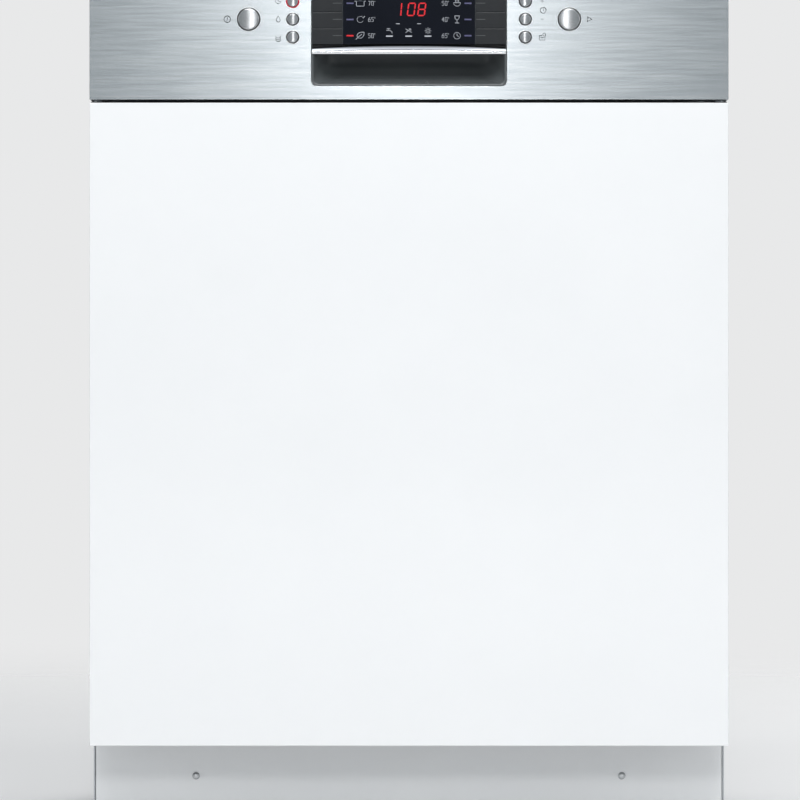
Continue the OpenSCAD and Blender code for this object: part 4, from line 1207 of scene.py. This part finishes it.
def make_handle(name, rack):
    """Soft grip over the middle of the front rim."""
    rings = []
    for x in spread(-88, 88, 31):
        swell = 1 - (abs(x) / 88) ** 6
        tall, deep = 4.2 + 4.4 * swell, 3.9 + 1.8 * swell
        rings.append([(x, rack.front + deep * c, rack.rim - 2.6 * swell + tall * s)
                      for c, s in (polar(1, a) for a in turns(20))])
    shape = Shape().loft(rings)
    for x in spread(-40, 40, 11):
        shape.ring([(-0.9, 5.4), (0.9, 5.4), (0.6, 6.1), (-0.6, 6.1)], (x, rack.front, rack.rim - 2.6),
                   RIGHT, 20)
    shape.piece(name, rack.node, "rack_coat", "grey", smooth=60)


def make_wheels():
    tread = [(-5, 13), (-5, 16.6), (-4.2, 17.4), (-1.6, 17.4), (-1.0, 16.6), (1.0, 16.6), (1.6, 17.4),
             (4.2, 17.4), (5, 16.6), (5, 13)]
    hub = [(-7, 4.1), (-7, 7.2), (-6.4, 8), (5.2, 8), (6, 7.2), (6, 4.1)]
    web = [(-1.1, 7.6), (1.1, 7.6), (1.1, 13.4), (-1.1, 13.4)]
    corners = ((-1.1, -3.6), (1.1, -3.6), (1.1, 3.6), (-1.1, 3.6))
    for node, joint in (("front_wheels", "front_wheel_roll"), ("rear_wheels", "rear_wheel_roll")):
        axis = joint_axis(joint)
        shape = Shape()
        for side in SIDES:
            origin = Vector((side * 258, axis.y, axis.z))
            shape.ring(tread, origin, RIGHT, 56)
            shape.ring(hub, origin, side * RIGHT, 36)
            shape.ring(web, origin, RIGHT)
            for a in turns(6):
                out, turn = Vector((0, *polar(1, a))), Vector((0, *polar(1, a + 90)))
                shape.loft([[origin + out * r + turn * s + RIGHT * d for s, d in corners]
                            for r in (7.4, 13.6)])
        shape.piece(node + "_spoked", node, *GREY, [node], bevel=0.3, smooth=36)


def make_upper_rack():
    shape = wire_cage(UPPER, (556, 588))
    for y in (-110, -20, 120):
        tines(shape, y, UPPER.floor + TINE_FOOT, spread(-200, 200, 9), 60)
    # cup shelves lie folded against both walls
    for x in (-232, 232):
        shape.tube(fillet([(x, -150, 566), (x, -150, 614), (x, -16, 614), (x, -16, 566)], 8), WIRE)
    shape.piece("upper_rack_wires", "upper_rack", *COAT, ["upper_rack"], smooth=60)
    make_handle("upper_rack_handle", UPPER)
    carriers = Shape()
    pin = [(246.4, 4.7), (252.4, 4.7), (252.8, 3.4), (257.4, 3.4), (257.6, 2.6)]
    for side in SIDES:
        carriers.prism(round_box(20, 180, 590, 612, 6, 4), yz, *sorted((side * 241.6, side * 246.8)))
        for y in (50, 150):
            carriers.lathe(pin, (0, y, RAIL_Z), side * RIGHT, 28)
        carriers.prism(round_box(74, 126, 606, 615, 4, 4), yz, *sorted((side * 236, side * 242)))
    carriers.piece("rack_carriers", "upper_rack", *GREY, bevel=0.5, smooth=36)
    rings = []
    for y in spread(HUB.y, 237, 24):
        wide = 9.0 - 0.6 * (y - HUB.y) / (237 - HUB.y)
        rings.append([(HUB.x + wide * c, y, DUCT_Z + 9.0 * s) for c, s in (polar(1, a) for a in turns(24))])
    duct = Shape().loft(rings)
    duct.lathe([(463, 8), (477, 8), (479.6, 11), (480.5, 15), (492, 15), (497, 13.4), (499.6, 9), (500, 0.3)],
               (HUB.x, HUB.y, 0), UP, 44)
    for y in (80, 150, 214):
        duct.ring([(-2, 8.2), (-2, 9.9), (2, 9.9), (2, 8.2)], (0, y, DUCT_Z), BACK, 32)
    for y in (96, 200):
        duct.prism(round_box(-7, 7, 497, 508, 2, 3), xz, y - 4, y + 4)
    duct.piece("upper_water_duct", "upper_rack", *GREY, smooth=45)


def make_cutlery_basket():
    low, high = span("cutlery_basket")
    x0, x1, y0, y1 = low.x, high.x, low.y, high.y
    floor, rim, mid = low.z, 306.0, -60.0
    outer = round_box(x0, x1, y0, y1, 7, 5)
    inner = round_box(x0 + 2, x1 - 2, y0 + 2, y1 - 2, 5.4, 5)
    shape = Shape()
    for z, tall in ((floor, 3.0), (250, 2.4), (rim - 5, 5)):
        levels = ((outer, z), (outer, z + tall), (inner, z + tall), (inner, z))
        shape.loft([[(a, b, level) for a, b in outline] for outline, level in levels], path_closed=True)
    for x in spread(x0 + 8, x1 - 8, 9):
        for y in (y0 + 1, y1 - 1):
            shape.box(x - 0.9, x + 0.9, y - 1, y + 1, floor + 1, rim - 2)
        shape.box(x - 0.9, x + 0.9, y0 + 1, y1 - 1, floor, floor + 2.2)
    for y in spread(y0 + 8, y1 - 8, 27):
        for x in (x0 + 1, x1 - 1):
            shape.box(x - 1, x + 1, y - 0.9, y + 0.9, floor + 1, rim - 2)
        shape.box(x0 + 1, x1 - 1, y - 0.9, y + 0.9, floor + 0.3, floor + 2.4)
    shape.box(x0 + 1, x1 - 1, mid - 2, mid + 2, floor, rim - 1)
    shape.piece("cutlery_grid", "cutlery_basket", *GREY, ["cutlery_basket"], smooth=30)
    path = [(x0 + 16, mid, 302), (x0 + 18, mid, 329.8), (x1 - 18, mid, 329.8), (x1 - 16, mid, 302)]
    handle = Shape().tube(fillet(path, 14, 8), 3.6, 16)
    handle.lathe([(-20, 3.8), (-18, 4.2), (18, 4.2), (20, 3.8)], ((x0 + x1) / 2, mid, 329.8), RIGHT, 24)
    handle.piece("cutlery_handle", "cutlery_basket", *GREY, smooth=60)


# ---------------------------------------------------------------- door, seen from inside

LINER = span("inner_door")[1].y           # the liner's face that looks into the tub
DISP_LOW, DISP_HIGH = span("dispenser")


def make_inner_door():
    dress("inner_door", "liner", 0.5)
    # raised band between two round-cornered rectangles: half width, foot, top, corner, relief
    lines = ((262, 142, 786, 34, -0.4), (258, 146, 782, 31.6, 2.4), (240, 166, 762, 19.4, 2.4),
             (236, 170, 758, 17, -0.4))
    band = [[xz(a, b, LINER + relief) for a, b in round_box(-x, x, z0, z1, corner, 8)]
            for x, z0, z1, corner, relief in lines]
    band = Shape().loft(band, path_closed=True)
    band.piece("liner_pressed_frame", "door", *LINER_STEEL, smooth=60)
    beads = pressed(xz, LINER - 2.4, 4, (), [((-190, z), (190, z)) for z in (220, 262, 304, 346)]
                    + [((-84, z), (190, z)) for z in (640, 676, 712)])
    pressed(xz, LINER - 1.6, 3, [(-108, 108, 402, 588, 14)], (), beads)
    beads.piece("liner_beads", "door", *LINER_STEEL, smooth=60)
    x, z = -150, 676
    vent = Shape().ring([(-0.4, 22), (2.6, 22), (3.6, 24), (3.6, 30), (2.4, 34), (-0.4, 35)], (x, LINER, z),
                        BACK, 64)
    vent.lathe([(-0.6, 22.4), (0.8, 22.4)], (x, LINER, z), BACK)
    for k in range(-3, 4):
        half = math.sqrt(22.2 ** 2 - (6 * k) ** 2)
        slat = [(LINER + a, z + 6 * k + b) for a, b in ((0.2, -2.4), (3.0, 1.0), (3.0, 2.0), (0.2, -0.8))]
        vent.prism(slat, yz, x - half, x + half)
    vent.piece("steam_vent", "door", *GREY, smooth=40)
    screws = screw_heads([(side * 280, LINER, z) for side in SIDES for z in (150, 330, 560, 778)], BACK, 3.2)
    screw_heads([(side * x, LINER, 802) for side in SIDES for x in (60, 180)], BACK, 3.0, screws)
    screws.piece("liner_screws", "door", *STEEL, smooth=40)
    wiper = Shape().tube([(-262, LINER - 1.6, 121.5), (262, LINER - 1.6, 121.5)], 1.9, 10)
    wiper.piece("door_foot_seal", "door", *RUBBER, smooth=60)


def make_dispenser():
    dress("dispenser", "pale", 0.9)

    def rectangle(inset, corner):
        half = DISP_HIGH.x - inset
        return round_box(-half, half, DISP_LOW.z + inset, DISP_HIGH.z - inset, corner)

    outer, inner = rectangle(1.2, 9), rectangle(5.6, 6)
    levels = ((outer, 1.6), (outer, 3.0), (inner, 3.6), (inner, 1.6))
    trim = Shape().loft([[xz(a, b, LINER + d) for a, b in outline] for outline, d in levels],
                        path_closed=True)
    for k in range(5):
        trim.box(28, 72, LINER + 1.8, LINER + 2.8, 508 + 9 * k, 510 + 9 * k)
    trim.piece("dispenser_bezel", "door", *PALE, bevel=0.3, smooth=40)
    loop = [xz(a, b, LINER + 1.7) for a, b in round_box(-76.6, 6.6, 433.4, 496.6, 3, 4)]
    Shape().tube(loop, 0.5, closed=True).piece("chamber_gasket", "door", *RUBBER, smooth=60)
    # rinse level window and its ring, and the lid's catch
    origin = (50, LINER + 1.6, 434)
    window = Shape().lathe([(-0.4, 6.6), (1.0, 6.6), (2.0, 5.4), (2.5, 3.4), (2.7, 0.2)], origin, BACK, 36)
    window.piece("rinse_level_window", "door", "display_glass", "glass", smooth=60)
    ring = Shape().ring([(0, 6.8), (1.4, 7.0), (1.4, 8.8), (0, 9.2)], origin, BACK, 40)
    ring.piece("rinse_level_ring", "door", *PALE_GREY, smooth=50)
    catch = Shape().prism(round_box(-48, -20, 420, 430, 3, 4), xz, LINER + 1.4, LINER + 5.0)
    for k in range(4):
        catch.box(-44 + 6 * k, -42.8 + 6 * k, LINER + 4.8, LINER + 5.6, 422, 428)
    catch.piece("lid_catch", "door", *GREY, bevel=0.6)
    low, high = span("dispenser_lid")
    outline = round_box(low.x + 0.1, high.x - 0.1, low.z + 0.1, high.z - 0.1, 4, 5)
    lid = Shape().prism(outline, xz, LINER + 2.3, LINER + 4.5)
    for k in range(3):
        lid.prism(round_box(-55, -15, 442 + 3.4 * k, 443.8 + 3.4 * k, 0.8, 3), xz, LINER + 4.3, LINER + 6.4)
    lid.prism(round_box(-62, -8, 458, 488, 6, 5), xz, LINER + 4.3, LINER + 5.1)
    lid.piece("dispenser_lid_moulded", "dispenser_lid", *GREY, ["dispenser_lid"], bevel=0.5, smooth=36)
    mid = centre("rinse_aid_cap")
    x, z = mid.x, mid.z
    cap = Shape().lathe([(-8, 10.6), (-7, 12), (2.3, 12), (2.4, 18), (3.2, 19), (5.0, 19), (6.0, 17.6),
                         (6.1, 0.3)],
                        (x, LINER, z), BACK, 56)
    cap.prism(round_box(x - 14.8, x + 14.8, z - 2.9, z + 2.9, 2.4, 4), xz, LINER + 5.8, LINER + 9.8)
    cap.piece("rinse_cap_moulded", "rinse_aid_cap", *PALE, ["rinse_aid_cap"], bevel=0.4, smooth=36)
    arrow = [(x + 15.6, z - 1.6), (x + 18.0, z), (x + 15.6, z + 1.6)]
    mark = Shape().prism(arrow, xz, LINER + 5.9, LINER + 6.3)
    mark.piece("rinse_cap_mark", "rinse_aid_cap", *PALE_GREY)


def make_door_parts():
    dress("door_hinges", "part", 0.4)
    dress("door_latch", "black", 0.8)
    hook = [(-3, 797.6), (3, 797.6), (3, 803), (0, 805.4), (-3, 803)]
    Shape().prism(hook, xz, LINER - 22, LINER - 15).piece("latch_hook", "door", *STEEL, bevel=0.5)
    dress("control_board", "board", 0.15)
    face = span("control_board")[1].y
    # middle, width, height and thickness
    chips = Shape()
    for x, z, w, h, d in ((-140, 772, 18, 14, 3), (-112, 780, 12, 12, 8), (-60, 772, 24, 24, 2.4),
                          (-20, 784, 16, 10, 6), (22, 770, 30, 10, 9), (70, 782, 14, 14, 4),
                          (118, 770, 26, 12, 11), (146, 786, 12, 18, 7)):
        chips.box(x - w / 2, x + w / 2, face, face + d, z - h / 2, z + h / 2)
    chips.piece("board_chips", "door", *BLACK, bevel=0.4)
    cans = Shape()
    for x, z, r, d in ((-88, 768, 4, 11), (-78, 768, 4, 11), (48, 788, 5, 12), (96, 788, 3.2, 9),
                       (96, 766, 3.2, 9)):
        cans.lathe([(0, r), (d - 0.6, r), (d, r - 0.6), (d - 0.2, 0.2)], (x, face, z), BACK, 24)
    cans.piece("board_capacitors", "door", *STEEL, smooth=40)
    coils = Shape()
    for x in (-36, 134):
        coils.ring([(-4, 3), (-4, 6), (4, 6), (4, 3)], (x, face + 4, 790), BACK, 24)
    coils.piece("board_coils", "door", "steel_part", "copper", smooth=40)


# ---------------------------------------------------------------- camera, light and floor

def link_object(name, data, place):
    thing = bpy.data.objects.new(name, data)
    bpy.context.scene.collection.objects.link(thing)
    thing.location = place
    return thing


def area_light(name, place, aim, size, power, spread_degrees=180):
    light = bpy.data.lights.new(name, "AREA")
    light.shape = "RECTANGLE"
    light.size, light.size_y = size
    light.energy = power
    light.spread = math.radians(spread_degrees)
    lamp = link_object(name, light, place)
    lamp.rotation_euler = (Vector(aim) - Vector(place)).to_track_quat("-Z", "Y").to_euler()
    return lamp


def make_world():
    """A pale studio that is darker behind the camera, so that the steel has something to show."""
    world = bpy.data.worlds.new("studio")
    bpy.context.scene.world = world
    world.use_nodes = True
    tree = world.node_tree
    depth = add(tree, "SeparateXYZ", {"Vector": place_in(tree, "Generated")}).outputs["Y"]
    shift = add(tree, "MapRange", {"From Min": -1.0, "Value": depth})
    ramp = add(tree, "ValToRGB", {"Fac": shift.outputs["Result"]})
    dark, pale = ramp.color_ramp.elements
    dark.color = (0.19, 0.22, 0.24, 1)
    pale.color = (0.94, 0.945, 0.95, 1)
    pale.position = 0.78
    feed(tree, tree.nodes["Background"], {"Color": ramp.outputs["Color"], "Strength": 0.86})


def fading_floor():
    """Studio floor that thins out with distance, so that no horizon shows."""
    material = MAT["floor"]
    tree, bsdf = parts_of(material)
    reach = add(tree, "VectorMath", operation="LENGTH")
    tree.links.new(place_in(tree), reach.inputs[0])
    far = add(tree, "MapRange", {"From Min": 0.5, "From Max": 3.4, "Value": reach.outputs["Value"]},
              interpolation_type="SMOOTHERSTEP")
    clear = add(tree, "BsdfTransparent")
    mix = add(tree, "MixShader", {"Fac": far.outputs["Result"]})
    tree.links.new(bsdf.outputs["BSDF"], mix.inputs[1])
    tree.links.new(clear.outputs["BSDF"], mix.inputs[2])
    feed(tree, tree.nodes["Material Output"], {"Surface": mix.outputs["Shader"]})
    return material


def make_stage():
    scene = bpy.context.scene
    scene.view_settings.view_transform = "Standard"
    face = FACE * MM
    frame_width = 0.746                       # width of the view at the front's plane
    distance = 4.0
    lens = bpy.data.cameras.new("camera")
    lens.sensor_width = 36
    lens.lens = 36 * distance / frame_width
    camera = link_object("camera", lens, (-0.0084, face - distance, 0.4167))
    camera.rotation_euler = (math.radians(90), 0, 0)
    scene.camera = camera
    make_world()
    # place, aim, size and power of each light
    area_light("key", (0.0, -4.6, 2.3), (0, face, 0.75), (0.14, 0.6), 27)
    area_light("top", (0.0, -1.35, 2.3), (0, -0.15, 0.45), (1.8, 1.1), 32)
    area_light("left", (-3.0, -1.8, 1.4), (0, -0.2, 0.45), (0.9, 1.6), 7)
    area_light("right", (3.0, -1.8, 1.4), (0, -0.2, 0.45), (0.9, 1.6), 10)
    area_light("spark_left", (-1.9, -2.9, 2.7), (-0.06, face, 0.72), (0.16, 0.16), 3.0)
    area_light("spark_right", (1.9, -2.9, 2.7), (0.06, face, 0.72), (0.16, 0.16), 3.0)
    area_light("back", (1.4, 3.0, 1.9), (0, 0.2, 0.45), (1.6, 1.6), 30)
    low = area_light("low", (0.0, -2.5, 0.16), (0, face, 0.03), (1.5, 0.24), 0.5, 70)
    low.visible_camera = False
    floor = bpy.data.meshes.new("floor")
    floor.from_pydata([(-40, -40, 0), (40, -40, 0), (40, 40, 0), (-40, 40, 0)], [], [(0, 1, 2, 3)])
    floor.materials.append(fading_floor())
    link_object("floor", floor, (0, 0, 0))


make_fascia()
make_insert()
make_strip()
make_keys()
make_display()
make_buttons()
make_print()
make_tub()
make_seal()
make_outer_shell()
make_kick_plate()
make_base()
make_filters()
make_pumps()
make_softener()
make_connections()
make_feed()
make_spray_arms()
make_hinge_side()
make_lower_rack()
make_wheels()
make_upper_rack()
make_cutlery_basket()
make_inner_door()
make_dispenser()
make_door_parts()
make_stage()
